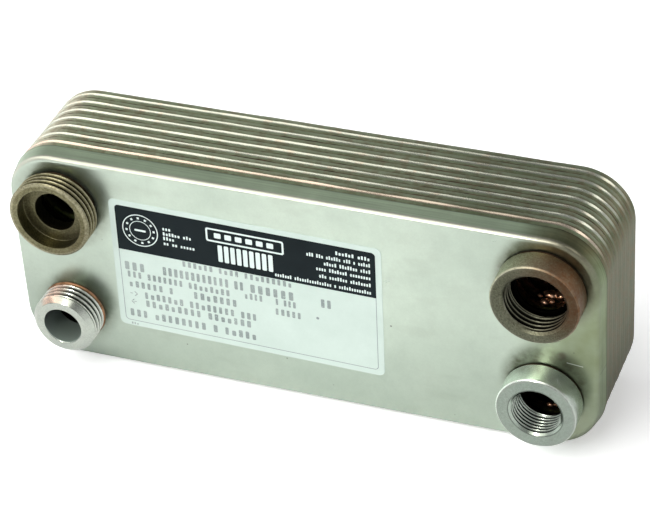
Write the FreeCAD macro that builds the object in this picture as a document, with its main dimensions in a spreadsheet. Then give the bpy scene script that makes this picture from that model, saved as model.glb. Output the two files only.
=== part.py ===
import FreeCAD
import Part
import Sketcher
import math
import os

# Brazed plate heat exchanger: a pack of nested, skirted herringbone plates
# between a front and a rear cover, with four port fittings on the front.
# +X runs along the long side, +Z is up (the object stands on its long edge),
# the ports face -Y.  The origin is the centre of the rear cover's flat outer
# face, so depths "from the front face" are turned into y by subtracting
# rear_plane.

V = FreeCAD.Vector
os.makedirs("parts", exist_ok=True)
doc = FreeCAD.newDocument("plate_heat_exchanger")

# ---------------------------------------------------------------- sizes (mm)
P = {
    # whole pack
    "half_x": 94.70,          # front cover skirt, outer half length at its free edge
    "half_z": 38.15,          # same, half height
    "corner_r": 16.60,        # same, corner radius
    "flare": 0.18534,         # outward flare of every skirt (tan 10.5 deg)
    "port_x": 77.0,           # port centres, half of 154
    "port_z": 20.0,           # port centres, half of 40
    "plate_pitch": 2.30,
    "plate_count": 14,
    # front cover
    "cover_t": 0.80,
    "cover_depth": 5.85,      # front face to skirt free edge
    "cover_bend": 1.70,       # outside bend radius
    "cover_bend_in": 0.90,
    # channel plates
    "sheet_t": 0.40,
    "skirt_len": 5.50,        # back plane of the plate to skirt free edge
    "skirt_alt": 0.12,        # odd plates this much longer, even this much shorter
    "nest_gap": 0.02,
    "hole_r": 9.00,           # port hole in the plates
    "collar_top_r": 12.0,
    "collar_foot_r": 14.0,
    "field_x": 60.0,          # half length of the herringbone field
    "field_z": 32.0,          # half height of the herringbone field
    "wave": 7.0,              # corrugation pitch along X
    "wave_flat": 0.8,         # flat on crest and valley
    "chevron": 0.57735,       # tan 30 deg
    # rear cover
    "rear_t": 1.50, "rear_ch": 0.50,
    # copper seams
    "bead": 0.26,
    # heating-side inlet, male G3/4, top left
    "tl_h": 8.16, "tl_crest": 13.22, "tl_root": 12.06, "tl_front": 12.64,
    "tl_neck": 11.90, "tl_neck_l": 1.20, "tl_cb": 10.50, "tl_cb_d": 4.44,
    "tl_bore": 6.62, "tl_spigot": 9.00, "tl_groove": 3.10,
    # domestic-side port, male G1/2, bottom left
    "bl_h": 9.28, "bl_crest": 10.478, "bl_root": 9.316, "bl_face": 8.82,
    "bl_neck": 9.25, "bl_neck_l": 0.70, "bl_bore": 6.18, "bl_bore_ch": 0.35,
    "bl_spigot": 8.00, "bl_groove": 2.15,
    # heating-side outlet, female G1/2, top right
    "tr_h": 8.54, "tr_out": 13.52, "tr_ch": 0.45, "tr_mouth": 10.478,
    "tr_crest": 9.316, "tr_root": 10.478, "tr_thr_l": 7.80, "tr_relief": 9.90,
    "tr_floor": 0.20, "tr_bore": 7.90, "tr_spigot": 9.70, "tr_groove": 1.30,
    # domestic-side port, female G3/8, bottom right
    "br_h": 8.35, "br_out": 12.46, "br_ch": 0.42, "br_mouth": 8.45,
    "br_crest": 7.475, "br_root": 8.331, "br_spigot": 9.20, "br_groove": 0.215,
    # threads
    "g_pitch": 1.814, "g_open": 1.36, "g_root_w": 0.30,
    "g38_pitch": 1.337, "g38_open": 0.98, "g38_root_w": 0.22,
    # copper rings under the fittings
    "ring_h": 0.38, "ring_w": 0.42, "bl_ring_h": 0.85, "bl_ring_r": 10.75,
    # label
    "label_w": 88.0, "label_h": 47.9, "label_r": 2.0, "label_t": 0.12,
    "label_x": -16.6, "label_z": 1.33, "label_tilt": -1.19,
}
P["rear_plane"] = (P["cover_t"] + P["plate_count"] * P["plate_pitch"] + P["rear_t"])
P["face_half_x"] = P["half_x"] - P["cover_depth"] * P["flare"]
P["face_half_z"] = P["half_z"] - P["cover_depth"] * P["flare"]
P["face_r"] = P["corner_r"] - P["cover_depth"] * P["flare"]
slant = math.sqrt(1.0 + P["flare"] ** 2)
P["cover_wall"] = P["cover_t"] * slant          # wall thickness measured level
P["plate_wall"] = P["sheet_t"] * slant
# outer half length of a plate skirt at the depth of the cover's free edge
P["plate_off"] = P["cover_wall"] + P["nest_gap"]

sheet = doc.addObject("Spreadsheet::Sheet", "sizes")
row = 1
for key in P:
    sheet.set("A%d" % row, key)
    sheet.set("B%d" % row, repr(round(float(P[key]), 6)))
    sheet.setAlias("B%d" % row, key)
    row += 1
doc.recompute()


def val(key):
    return float(sheet.get(key))


def num(terms):
    total = 0.0
    for term in terms.split():
        sign = 1.0
        if term[0] in "+-":
            sign = -1.0 if term[0] == "-" else 1.0
            term = term[1:]
        total += sign * val(term)
    return total


def expr(terms):
    out = ""
    for term in terms.split():
        sign = "+"
        if term[0] in "+-":
            sign = term[0]
            term = term[1:]
        out += " %s sizes.%s" % (sign, term)
    out = out.strip()
    return out[1:].strip() if out[0] == "+" else "0 " + out


def origin_plane(body, role):
    for feature in body.Origin.OriginFeatures:
        if feature.Role == role:
            return feature
    raise RuntimeError("no plane " + role)


def new_body(name):
    body = doc.addObject("PartDesign::Body", name)
    body.Label = name
    return body


def attach(sk, body, role, offset=None):
    sk.AttachmentSupport = [(origin_plane(body, role), "")]
    sk.MapMode = "FlatFace"
    if offset is not None:
        sk.AttachmentOffset = FreeCAD.Placement(V(0, 0, num(offset)), FreeCAD.Rotation())
        sk.setExpression("AttachmentOffset.Base.z", expr(offset))


def round_rect(body, name, role, offset, hx, hz, r):
    # rounded rectangle centred on the sketch origin; hx, hz half sizes
    sk = body.newObject("Sketcher::SketchObject", name)
    attach(sk, body, role, offset)
    a, b, c = num(hx), num(hz), num(r)
    z = V(0, 0, 1)
    sk.addGeometry([
        Part.LineSegment(V(-a + c, b, 0), V(a - c, b, 0)),
        Part.LineSegment(V(a, b - c, 0), V(a, -b + c, 0)),
        Part.LineSegment(V(a - c, -b, 0), V(-a + c, -b, 0)),
        Part.LineSegment(V(-a, -b + c, 0), V(-a, b - c, 0)),
        Part.ArcOfCircle(Part.Circle(V(a - c, b - c, 0), z, c), 0, math.pi / 2),
        Part.ArcOfCircle(Part.Circle(V(a - c, -b + c, 0), z, c), -math.pi / 2, 0),
        Part.ArcOfCircle(Part.Circle(V(-a + c, -b + c, 0), z, c), math.pi, 1.5 * math.pi),
        Part.ArcOfCircle(Part.Circle(V(-a + c, b - c, 0), z, c), math.pi / 2, math.pi),
    ], False)
    C = Sketcher.Constraint
    sk.addConstraint([
        C("Tangent", 0, 2, 4, 2), C("Tangent", 4, 1, 1, 1),
        C("Tangent", 1, 2, 5, 2), C("Tangent", 5, 1, 2, 1),
        C("Tangent", 2, 2, 6, 2), C("Tangent", 6, 1, 3, 1),
        C("Tangent", 3, 2, 7, 2), C("Tangent", 7, 1, 0, 1),
        C("Horizontal", 0), C("Horizontal", 2), C("Vertical", 1), C("Vertical", 3),
        C("Equal", 4, 5), C("Equal", 4, 6), C("Equal", 4, 7),
        C("Symmetric", 0, 1, 2, 1, -1, 1),
    ])
    i = sk.addConstraint(C("DistanceX", -1, 1, 1, 1, a))
    sk.renameConstraint(i, "half_w")
    j = sk.addConstraint(C("DistanceY", -1, 1, 0, 1, b))
    sk.renameConstraint(j, "half_h")
    k = sk.addConstraint(C("Radius", 4, c))
    sk.renameConstraint(k, "corner")
    sk.setExpression("Constraints.half_w", expr(hx))
    sk.setExpression("Constraints.half_h", expr(hz))
    sk.setExpression("Constraints.corner", expr(r))
    return sk


def outline(body, name, pts):
    # closed polygon in the body's XY plane: x is the radius, y is along the
    # port axis, outwards; every corner is set from the sheet
    sk = body.newObject("Sketcher::SketchObject", name)
    attach(sk, body, "XY_Plane")
    n = len(pts)
    xy = [V(num(p[0]), num(p[1]) if p[1] else 0.0, 0) for p in pts]
    sk.addGeometry([Part.LineSegment(xy[i], xy[(i + 1) % n]) for i in range(n)], False)
    C = Sketcher.Constraint
    sk.addConstraint([C("Coincident", i, 2, (i + 1) % n, 1) for i in range(n)])
    for i in range(n):
        c = sk.addConstraint(C("DistanceX", -1, 1, i, 1, xy[i].x))
        sk.renameConstraint(c, "x%d" % i)
        sk.setExpression("Constraints.x%d" % i, expr(pts[i][0]))
        if pts[i][1]:
            c = sk.addConstraint(C("DistanceY", -1, 1, i, 1, xy[i].y))
            sk.renameConstraint(c, "y%d" % i)
            sk.setExpression("Constraints.y%d" % i, expr(pts[i][1]))
        else:
            sk.addConstraint(C("PointOnObject", i, 1, -1))
    return sk


def turn(body, name, sk, kind):
    feat = body.newObject("PartDesign::" + kind, name)
    feat.Profile = sk
    feat.ReferenceAxis = (sk, ["V_Axis"])
    feat.Angle = 360
    return feat


def thread(body, tag, prof, pitch, count):
    # ring grooves at thread pitch, cut once and repeated along the axis
    sk = outline(body, tag + "_groove_profile", prof)
    doc.recompute()
    g = turn(body, tag + "_groove", sk, "Groove")
    doc.recompute()
    pat = body.newObject("PartDesign::LinearPattern", tag + "_thread")
    pat.Originals = [g]
    pat.Direction = (sk, ["V_Axis"])
    pat.Occurrences = count
    pat.Length = val(pitch) * (count - 1)
    pat.setExpression("Length", "sizes.%s * %d" % (pitch, count - 1))
    body.Tip = pat
    doc.recompute()
    return pat


def seat(body, sx, sz):
    # local origin on the port axis at the inside face of the front cover,
    # local +Y pointing out of the cover
    x = val("port_x") * sx
    z = val("port_z") * sz
    y = val("cover_t") - val("rear_plane")
    body.Placement = FreeCAD.Placement(V(x, y, z), FreeCAD.Rotation(V(0, 0, 1), 180))
    body.setExpression("Placement.Base.x", "sizes.port_x * %d" % sx)
    body.setExpression("Placement.Base.y", "sizes.cover_t - sizes.rear_plane")
    body.setExpression("Placement.Base.z", "sizes.port_z * %d" % sz)


# ------------------------------------------------------------- front cover
fc = new_body("front_cover")
s1 = round_rect(fc, "cover_face", "XZ_Plane", "rear_plane", "face_half_x", "face_half_z", "face_r")
s2 = round_rect(fc, "cover_edge", "XZ_Plane", "rear_plane -cover_depth", "half_x", "half_z", "corner_r")
doc.recompute()
lo = fc.newObject("PartDesign::AdditiveLoft", "cover_shell")
lo.Profile = s1
lo.Sections = [s2]
lo.Ruled = True
doc.recompute()
inner = P["cover_wall"] - P["cover_t"] * P["flare"]
sheet.set("A%d" % row, "cover_in")
sheet.set("B%d" % row, repr(round(inner, 6)))
sheet.setAlias("B%d" % row, "cover_in")
row += 1
doc.recompute()
s3 = round_rect(fc, "cover_inner_face", "XZ_Plane", "rear_plane -cover_t",
                "face_half_x -cover_in", "face_half_z -cover_in", "face_r -cover_in")
s4 = round_rect(fc, "cover_inner_edge", "XZ_Plane", "rear_plane -cover_depth",
                "half_x -cover_wall", "half_z -cover_wall", "corner_r -cover_wall")
doc.recompute()
li = fc.newObject("PartDesign::SubtractiveLoft", "cover_hollow")
li.Profile = s3
li.Sections = [s4]
li.Ruled = True
doc.recompute()


def edges_at(shape, y, tol=0.02):
    names = []
    for i, e in enumerate(shape.Edges):
        bb = e.BoundBox
        if abs(bb.YMin - y) < tol and abs(bb.YMax - y) < tol:
            names.append("Edge%d" % (i + 1))
    return names


face_y = -val("rear_plane")
outer = edges_at(li.Shape, face_y)
fo = fc.newObject("PartDesign::Fillet", "cover_bend_outer")
fo.Base = (li, outer)
fo.Radius = val("cover_bend")
fo.setExpression("Radius", "sizes.cover_bend")
doc.recompute()
inn = edges_at(fo.Shape, face_y + val("cover_t"))
fi = fc.newObject("PartDesign::Fillet", "cover_bend_inner")
fi.Base = (fo, inn)
fi.Radius = val("cover_bend_in")
fi.setExpression("Radius", "sizes.cover_bend_in")
doc.recompute()
hs = fc.newObject("Sketcher::SketchObject", "cover_ports")
attach(hs, fc, "XZ_Plane", "rear_plane")
spig = (("tl_spigot", -1, 1), ("bl_spigot", -1, -1), ("tr_spigot", 1, 1), ("br_spigot", 1, -1))
for i, (key, sx, sz) in enumerate(spig):
    hs.addGeometry(Part.Circle(V(sx * val("port_x"), sz * val("port_z"), 0), V(0, 0, 1),
                               val(key) + val("nest_gap")), False)
    c = hs.addConstraint(Sketcher.Constraint("Radius", i, val(key) + val("nest_gap")))
    hs.renameConstraint(c, "r%d" % i)
    hs.setExpression("Constraints.r%d" % i, "sizes.%s + sizes.nest_gap" % key)
    c = hs.addConstraint(Sketcher.Constraint("DistanceX", -1, 1, i, 3, sx * val("port_x")))
    hs.renameConstraint(c, "cx%d" % i)
    hs.setExpression("Constraints.cx%d" % i, "sizes.port_x * %d" % sx)
    c = hs.addConstraint(Sketcher.Constraint("DistanceY", -1, 1, i, 3, sz * val("port_z")))
    hs.renameConstraint(c, "cz%d" % i)
    hs.setExpression("Constraints.cz%d" % i, "sizes.port_z * %d" % sz)
doc.recompute()
before = fi.Shape.Volume
hp = fc.newObject("PartDesign::Pocket", "cover_port_holes")
hp.Profile = hs
hp.Type = "Length"
hp.Length = 2.0
hp.setExpression("Length", "sizes.cover_t * 2")
doc.recompute()
if hp.Shape.Volume > before - 100:
    hp.Reversed = True
    doc.recompute()

# -------------------------------------------------------------- rear cover
# a flat blind plate, nested in the last plate's skirt
for key, ref in (("rear_x", "half_x"), ("rear_z", "half_z"), ("rear_r", "corner_r")):
    at_back = (val(ref) - val("plate_off") - val("plate_wall")
               + (val("cover_t") + val("plate_pitch") - val("cover_depth")) * val("flare") - val("nest_gap"))
    for suffix, add in (("_a", 0.0), ("_b", val("rear_t") * val("flare")),
                        ("_m", (val("rear_t") - val("rear_ch")) * val("flare")),
                        ("_c", val("rear_t") * val("flare") - val("rear_ch"))):
        sheet.set("A%d" % row, key + suffix)
        sheet.set("B%d" % row, repr(round(at_back + add, 6)))
        sheet.setAlias("B%d" % row, key + suffix)
        row += 1
doc.recompute()
rc = new_body("rear_cover")
r1 = round_rect(rc, "rear_inner_outline", "XZ_Plane", "rear_t", "rear_x_a", "rear_z_a", "rear_r_a")
rm = round_rect(rc, "rear_edge_outline", "XZ_Plane", "rear_ch", "rear_x_m", "rear_z_m", "rear_r_m")
r2 = round_rect(rc, "rear_outer_outline", "XZ_Plane", None, "rear_x_c", "rear_z_c", "rear_r_c")
doc.recompute()
rl = rc.newObject("PartDesign::AdditiveLoft", "rear_plate")
rl.Profile = r1
rl.Sections = [rm, r2]
rl.Ruled = True
doc.recompute()

# ---------------------------------------------------------- channel plates


def rr_wire(hx, hz, r, y):
    z0 = V(0, 1, 0)
    pts = []

    def arc(cx, cz, a0):
        p = [V(cx + r * math.cos(math.radians(t)), y, cz + r * math.sin(math.radians(t)))
             for t in (a0, a0 + 45, a0 + 90)]
        return Part.Arc(p[0], p[1], p[2]).toShape(), p[0], p[2]
    arcs = [arc(hx - r, hz - r, 0), arc(-hx + r, hz - r, 90),
            arc(-hx + r, -hz + r, 180), arc(hx - r, -hz + r, 270)]
    edges = []
    for i in range(4):
        edges.append(arcs[i][0])
        edges.append(Part.makeLine(arcs[i][2], arcs[(i + 1) % 4][1]))
    return Part.Wire(edges)


def frustum(hx0, hz0, r0, y0, y1):
    # rounded block growing outward by the skirt flare from y0 to y1
    g = (y1 - y0) * val("flare")
    w0 = rr_wire(hx0, hz0, r0, y0)
    w1 = rr_wire(hx0 + g, hz0 + g, r0 + g, y1)
    return Part.makeLoft([w0, w1], True, True)


def corrugated(sign_z, top, base, drop, hx, hz):
    # one half of the field: trapezoid wave in the XY plane at z = 0,
    # pushed out along the chevron arm, then trimmed to the field
    lam, flat = val("wave"), val("wave_flat")
    ramp = lam / 2 - flat
    reach = val("field_z") * val("chevron")
    x = -val("field_x") - reach - lam
    n0 = int(math.ceil(-x / lam))
    x = -n0 * lam
    pts = [V(x, drop, 0), V(x, base, 0)]
    while x < val("field_x") + lam:
        pts += [V(x + flat / 2, base, 0), V(x + flat / 2 + ramp, top, 0),
                V(x + flat * 1.5 + ramp, top, 0), V(x + lam - flat / 2, base, 0)]
        x += lam
    pts += [V(x, base, 0), V(x, drop, 0), pts[0]]
    face = Part.Face(Part.makePolygon(pts))
    zlen = hz + 1.0
    solid = face.extrude(V(zlen * val("chevron"), 0, sign_z * zlen))
    box = Part.makeBox(2 * hx, 20, hz, V(-hx, min(top, drop) - 5, 0 if sign_z > 0 else -hz))
    return solid.common(box)


def make_plate(skirt):
    # back plane at y = 0, crests at y = -pitch, skirt running to +Y
    t = val("sheet_t")
    tw = val("plate_wall")
    h = val("plate_pitch") - t
    # outer half sizes at the panel's front plane (y = -t)
    k = (val("cover_t") + val("plate_pitch") - t - val("cover_depth")) * val("flare")
    hx = val("half_x") - val("plate_off") + k
    hz = val("half_z") - val("plate_off") + k
    r = val("corner_r") - val("plate_off") + k
    outer = frustum(hx, hz, r, -t, skirt)
    g = t * val("flare")
    innerf = frustum(hx + g - tw, hz + g - tw, r + g - tw, 0, skirt + 1.0)
    tray = outer.cut(innerf)
    # bend radius outside and inside
    oe = [e for e in tray.Edges if abs(e.BoundBox.YMin + t) < 1e-3 and abs(e.BoundBox.YMax + t) < 1e-3]
    tray = tray.makeFillet(0.75, oe)
    ie = [e for e in tray.Edges if abs(e.BoundBox.YMin) < 1e-3 and abs(e.BoundBox.YMax) < 1e-3]
    tray = tray.makeFillet(0.35, ie)
    fx, fz = val("field_x"), val("field_z")
    tray = tray.cut(Part.makeBox(2 * fx, t + 2, 2 * fz, V(-fx, -t - 1, -fz)))
    halves = []
    for s in (1, -1):
        outside = corrugated(s, -t - h, -t, 0.0, fx, fz)
        hollow = corrugated(s, -h, 0.0, 2.0, fx - t, fz - t)
        halves.append((outside, hollow))
    field = halves[0][0].fuse(halves[1][0])
    field = field.cut(halves[0][1]).cut(halves[1][1])
    plate = tray.fuse(field)
    # raised collars round the two upper ports
    for sx in (-1, 1):
        c = V(sx * val("port_x"), 0, val("port_z"))
        rt, rf = val("collar_top_r"), val("collar_foot_r")
        prof = [V(0, 0, 0), V(0, -t - h, 0), V(rt, -t - h, 0), V(rf, -t, 0), V(rf, 0, 0), V(0, 0, 0)]
        boss = Part.Face(Part.makePolygon(prof)).revolve(V(0, 0, 0), V(0, 1, 0), 360)
        prof = [V(0, 1, 0), V(0, -h, 0), V(rt - 0.25, -h, 0), V(rf - 0.25 , 0, 0), V(rf - 0.25, 1, 0), V(0, 1, 0)]
        core = Part.Face(Part.makePolygon(prof)).revolve(V(0, 0, 0), V(0, 1, 0), 360)
        boss.translate(c)
        core.translate(c)
        plate = plate.fuse(boss).cut(core)
    for sx in (-1, 1):
        for sz in (-1, 1):
            cyl = Part.makeCylinder(val("hole_r"), 10, V(sx * val("port_x"), -5, sz * val("port_z")), V(0, 1, 0))
            plate = plate.cut(cyl)
    plate = plate.removeSplitter()
    if plate.ShapeType != "Solid":
        plate = plate.Solids[0] if len(plate.Solids) == 1 else plate
    return plate


count = int(val("plate_count"))
master = {}
for odd, extra in ((1, val("skirt_alt")), (0, -val("skirt_alt"))):
    master[odd] = make_plate(val("skirt_len") + extra)
for i in range(1, count + 1):
    name = "plate_%02d" % i
    obj = doc.addObject("Part::Feature", name)
    obj.Label = name
    obj.Shape = master[i % 2].copy()
    y = val("cover_t") + i * val("plate_pitch") - val("rear_plane")
    rot = FreeCAD.Rotation() if i % 2 else FreeCAD.Rotation(V(0, 1, 0), 180)
    obj.Placement = FreeCAD.Placement(V(0, y, 0), rot)

# ------------------------------------------------------------ copper seams
# a fillet of braze round the pack, where each plate's skirt leaves the one
# in front of it


def seam(hx, hz, r, y, climb):
    # hx, hz, r: outer half sizes of the inner skirt at depth y
    b = val("bead")
    f = val("flare")
    e = 0.004
    outer = rr_wire(hx + b, hz + b, r + b, y + e)
    o2 = rr_wire(hx + b * f + 0.03, hz + b * f + 0.03, r + b * f + 0.03, y + b * climb)
    body = Part.makeLoft([outer, o2], True, True)
    hole = frustum(hx + e - 1.0 * f, hz + e - 1.0 * f, r + e - 1.0 * f, y - 1.0, y + b * climb + 1.0)
    return body.cut(hole)


def plate_outer(i, depth):
    # outer half sizes of plate i's skirt at a depth from the front face
    k = (depth - (i - 1) * val("plate_pitch") - val("cover_depth")) * val("flare")
    o = val("plate_off")
    return val("half_x") - o + k, val("half_z") - o + k, val("corner_r") - o + k


for i in range(1, count + 1):
    if i == 1:
        depth = val("cover_depth")
    else:
        alt = val("skirt_alt") if (i - 1) % 2 else -val("skirt_alt")
        depth = val("cover_t") + (i - 1) * val("plate_pitch") + val("skirt_len") + alt
    hx, hz, r = plate_outer(i, depth)
    name = "braze_seam_%02d" % i
    obj = doc.addObject("Part::Feature", name)
    obj.Label = name
    obj.Shape = seam(hx, hz, r, 0.0, 1.8)
    obj.Placement = FreeCAD.Placement(V(0, depth - val("rear_plane"), 0), FreeCAD.Rotation())

# seam between the rear cover and the last plate: a fillet that fills the
# cover's chamfered edge and climbs the skirt
f = val("flare")
gap = val("nest_gap")
hx, hz, r = val("rear_x_b") + gap, val("rear_z_b") + gap, val("rear_r_b") + gap
lo, hi, ch = -0.40, 0.60, val("rear_ch")
ring = frustum(hx + lo * f - 0.004, hz + lo * f - 0.004, r + lo * f - 0.004, lo, hi)
sect = []
for y, off in ((lo - 0.05, -0.128), (lo, -0.168), (0.0, 0.01 - ch), (hi, hi * f - 0.034),
               (hi + 0.05, hi * f + 0.013)):
    sect.append(rr_wire(hx + off, hz + off, r + off, y))
ring = ring.cut(Part.makeLoft(sect, True, True))
obj = doc.addObject("Part::Feature", "braze_seam_rear")
obj.Label = "braze_seam_rear"
obj.Shape = ring
obj.Placement = FreeCAD.Placement(V(0, 0, 0), FreeCAD.Rotation())

# ---------------------------------------------------------------- fittings
# heating-side inlet: male thread, counterbored seat
tl = new_body("heating_inlet_fitting")
seat(tl, -1, 1)
sk = outline(tl, "tl_profile", [
    ("tl_bore", ""), ("tl_spigot", ""), ("tl_spigot", "cover_t"), ("tl_neck", "cover_t"),
    ("tl_neck", "cover_t +tl_neck_l"), ("tl_crest", "cover_t +tl_neck_l +ring_w"),
    ("tl_crest", "cover_t +tl_h -ring_w"), ("tl_front", "cover_t +tl_h"),
    ("tl_cb", "cover_t +tl_h"), ("tl_cb", "cover_t +tl_h -tl_cb_d"),
    ("tl_bore", "cover_t +tl_h -tl_cb_d")])
doc.recompute()
turn(tl, "tl_blank", sk, "Revolution")
doc.recompute()


for key, value in (("g_oh", P["g_open"] / 2), ("g_rh", P["g_root_w"] / 2),
                   ("g38_oh", P["g38_open"] / 2), ("g38_rh", P["g38_root_w"] / 2)):
    sheet.set("A%d" % row, key)
    sheet.set("B%d" % row, repr(round(value, 6)))
    sheet.setAlias("B%d" % row, key)
    row += 1
doc.recompute()


def groove_points(base, pos, crest, root, oh, rh):
    return [(root, "%s +%s -%s" % (base, pos, rh)), (root, "%s +%s +%s" % (base, pos, rh)),
            (crest, "%s +%s +%s" % (base, pos, oh)), (crest, "%s +%s -%s" % (base, pos, oh))]


thread(tl, "tl", groove_points("cover_t", "tl_groove", "tl_crest", "tl_root", "g_oh", "g_rh"), "g_pitch", 3)

# domestic-side port: male thread, thick wall, chamfered nose
bl = new_body("domestic_inlet_fitting")
seat(bl, -1, -1)
sk = outline(bl, "bl_profile", [
    ("bl_bore", ""), ("bl_spigot", ""), ("bl_spigot", "cover_t"), ("bl_neck", "cover_t"),
    ("bl_neck", "cover_t +bl_neck_l"), ("bl_crest", "cover_t +bl_neck_l +ring_w"),
    ("bl_crest", "cover_t +bl_h +bl_face -bl_crest"), ("bl_face", "cover_t +bl_h"),
    ("bl_bore +bl_bore_ch", "cover_t +bl_h"), ("bl_bore", "cover_t +bl_h -bl_bore_ch")])
doc.recompute()
turn(bl, "bl_blank", sk, "Revolution")
doc.recompute()
thread(bl, "bl", groove_points("cover_t", "bl_groove", "bl_crest", "bl_root", "g_oh", "g_rh"), "g_pitch", 4)

# heating-side outlet: female thread with a floor under the thread
tr = new_body("heating_outlet_fitting")
seat(tr, 1, 1)
sk = outline(tr, "tr_profile", [
    ("tr_bore", ""), ("tr_spigot", ""), ("tr_spigot", "cover_t"), ("tr_out", "cover_t"),
    ("tr_out", "cover_t +tr_h -tr_ch"), ("tr_out -tr_ch", "cover_t +tr_h"),
    ("tr_mouth", "cover_t +tr_h"), ("tr_crest", "cover_t +tr_h +tr_crest -tr_mouth"),
    ("tr_crest", "cover_t +tr_h -tr_thr_l"), ("tr_relief", "cover_t +tr_h -tr_thr_l"),
    ("tr_relief", "cover_t +tr_floor"), ("tr_bore", "cover_t +tr_floor")])
doc.recompute()
turn(tr, "tr_blank", sk, "Revolution")
doc.recompute()
thread(tr, "tr", groove_points("cover_t", "tr_groove", "tr_crest", "tr_root", "g_oh", "g_rh"), "g_pitch", 4)

# domestic-side port: female thread right through
br = new_body("domestic_outlet_fitting")
seat(br, 1, -1)
sk = outline(br, "br_profile", [
    ("br_crest", ""), ("br_spigot", ""), ("br_spigot", "cover_t"), ("br_out", "cover_t"),
    ("br_out", "cover_t +br_h -br_ch"), ("br_out -br_ch", "cover_t +br_h"),
    ("br_mouth", "cover_t +br_h"), ("br_crest", "cover_t +br_h +br_crest -br_mouth")])
doc.recompute()
turn(br, "br_blank", sk, "Revolution")
doc.recompute()
thread(br, "br", groove_points("cover_t", "br_groove", "br_crest", "br_root", "g38_oh", "g38_rh"), "g38_pitch", 6)

# copper rings where the fittings are brazed to the cover
for name, sx, sz, inner_key, outer_key, hkey in (
        ("braze_ring_heating_inlet", -1, 1, "tl_neck", None, "ring_h"),
        ("braze_ring_domestic_inlet", -1, -1, "bl_neck", "bl_ring_r", "bl_ring_h"),
        ("braze_ring_heating_outlet", 1, 1, "tr_out", None, "ring_h"),
        ("braze_ring_domestic_outlet", 1, -1, "br_out", None, "ring_h")):
    rb = new_body(name)
    seat(rb, sx, sz)
    sk = rb.newObject("Sketcher::SketchObject", name + "_profile")
    attach(sk, rb, "XY_Plane")
    r0 = val(inner_key) + 0.01
    r1 = val(outer_key) if outer_key else val(inner_key) + val("ring_w") + 0.03
    y0 = val("cover_t") + 0.005
    y1 = val("cover_t") + val(hkey)
    # concave-free bead: foot on the cover, rounded back to the fitting
    mid = V(r0 + (r1 - r0) * 0.80, y0 + (y1 - y0) * 0.72, 0)
    sk.addGeometry([
        Part.LineSegment(V(r0, y0, 0), V(r1, y0, 0)),
        Part.Arc(V(r1, y0, 0), mid, V(r0, y1, 0)),
        Part.LineSegment(V(r0, y1, 0), V(r0, y0, 0))], False)
    C = Sketcher.Constraint
    sk.addConstraint([C("Coincident", 0, 1, 2, 2)])
    cons = [("ix", "DistanceX", 0, 1, r0, "sizes.%s + 0.01" % inner_key),
            ("iy", "DistanceY", 0, 1, y0, "sizes.cover_t + 0.005"),
            ("ox", "DistanceX", 0, 2, r1, ("sizes.%s" % outer_key) if outer_key
             else "sizes.%s + sizes.ring_w + 0.03" % inner_key),
            ("oy", "DistanceY", 0, 2, y0, "sizes.cover_t + 0.005"),
            ("ty", "DistanceY", 2, 1, y1, "sizes.cover_t + sizes.%s" % hkey),
            ("tx", "DistanceX", 2, 1, r0, "sizes.%s + 0.01" % inner_key)]
    # join the arc to the two lines whichever way its ends run
    arc = sk.Geometry[1]
    near = (arc.StartPoint - V(r1, y0, 0)).Length < 1e-6
    sk.addConstraint([C("Coincident", 0, 2, 1, 1 if near else 2), C("Coincident", 1, 2 if near else 1, 2, 1)])
    for cn, kind, geo, pos, value, ex in cons:
        c = sk.addConstraint(C(kind, -1, 1, geo, pos, value))
        sk.renameConstraint(c, cn)
        sk.setExpression("Constraints." + cn, ex)
    doc.recompute()
    turn(rb, name + "_bead", sk, "Revolution")
    doc.recompute()

# ------------------------------------------------------------------- label
lb = new_body("label")
sheet.set("A%d" % row, "label_hw")
sheet.set("B%d" % row, repr(P["label_w"] / 2))
sheet.setAlias("B%d" % row, "label_hw")
row += 1
sheet.set("A%d" % row, "label_hh")
sheet.set("B%d" % row, repr(P["label_h"] / 2))
sheet.setAlias("B%d" % row, "label_hh")
row += 1
doc.recompute()
ls = round_rect(lb, "label_outline", "XZ_Plane", None, "label_hw", "label_hh", "label_r")
doc.recompute()
lp = lb.newObject("PartDesign::Pad", "label_film")
lp.Profile = ls
lp.Length = val("label_t")
lp.setExpression("Length", "sizes.label_t")
doc.recompute()
lb.Placement = FreeCAD.Placement(
    V(val("label_x"), -val("rear_plane"), val("label_z")),
    FreeCAD.Rotation(V(0, 1, 0), -val("label_tilt")))
lb.setExpression("Placement.Base.x", "sizes.label_x")
lb.setExpression("Placement.Base.y", "0 - sizes.rear_plane")
lb.setExpression("Placement.Base.z", "sizes.label_z")
doc.recompute()

# ------------------------------------------------------------------ export
bad = []
for obj in doc.Objects:
    if "Invalid" in obj.State or "Error" in obj.State:
        bad.append(obj.Name + " " + str(obj.State))
nodes = [o for o in doc.Objects
         if o.TypeId == "PartDesign::Body" or (o.TypeId == "Part::Feature" and o.Label != "")]
for obj in nodes:
    s = obj.Shape
    if s.isNull() or not s.isValid() or len(s.Solids) < 1:
        bad.append(obj.Label + " shape")
    print("%-28s solids %d faces %4d vol %9.1f  box x %.2f..%.2f y %.2f..%.2f z %.2f..%.2f %s" % (
        obj.Label, len(s.Solids), len(s.Faces), s.Volume, s.BoundBox.XMin, s.BoundBox.XMax,
        s.BoundBox.YMin, s.BoundBox.YMax, s.BoundBox.ZMin, s.BoundBox.ZMax, s.isValid()))
if bad:
    raise RuntimeError("bad objects: " + ", ".join(bad))
for obj in nodes:
    obj.Shape.exportStep("parts/%s.step" % obj.Label)
print("nodes", len(nodes))
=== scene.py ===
# A brazed stack of 14 channel plates between a front and a rear cover, with four
# threaded fittings and a label on the front. x runs along its length and z up; the
# flat front face lies at y = FRONT and looks along -y. Sizes are in mm. "Depth" is
# measured back (+y) from the front face and "height" forward (-y) from it.
import math
import random
from functools import cached_property

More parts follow.
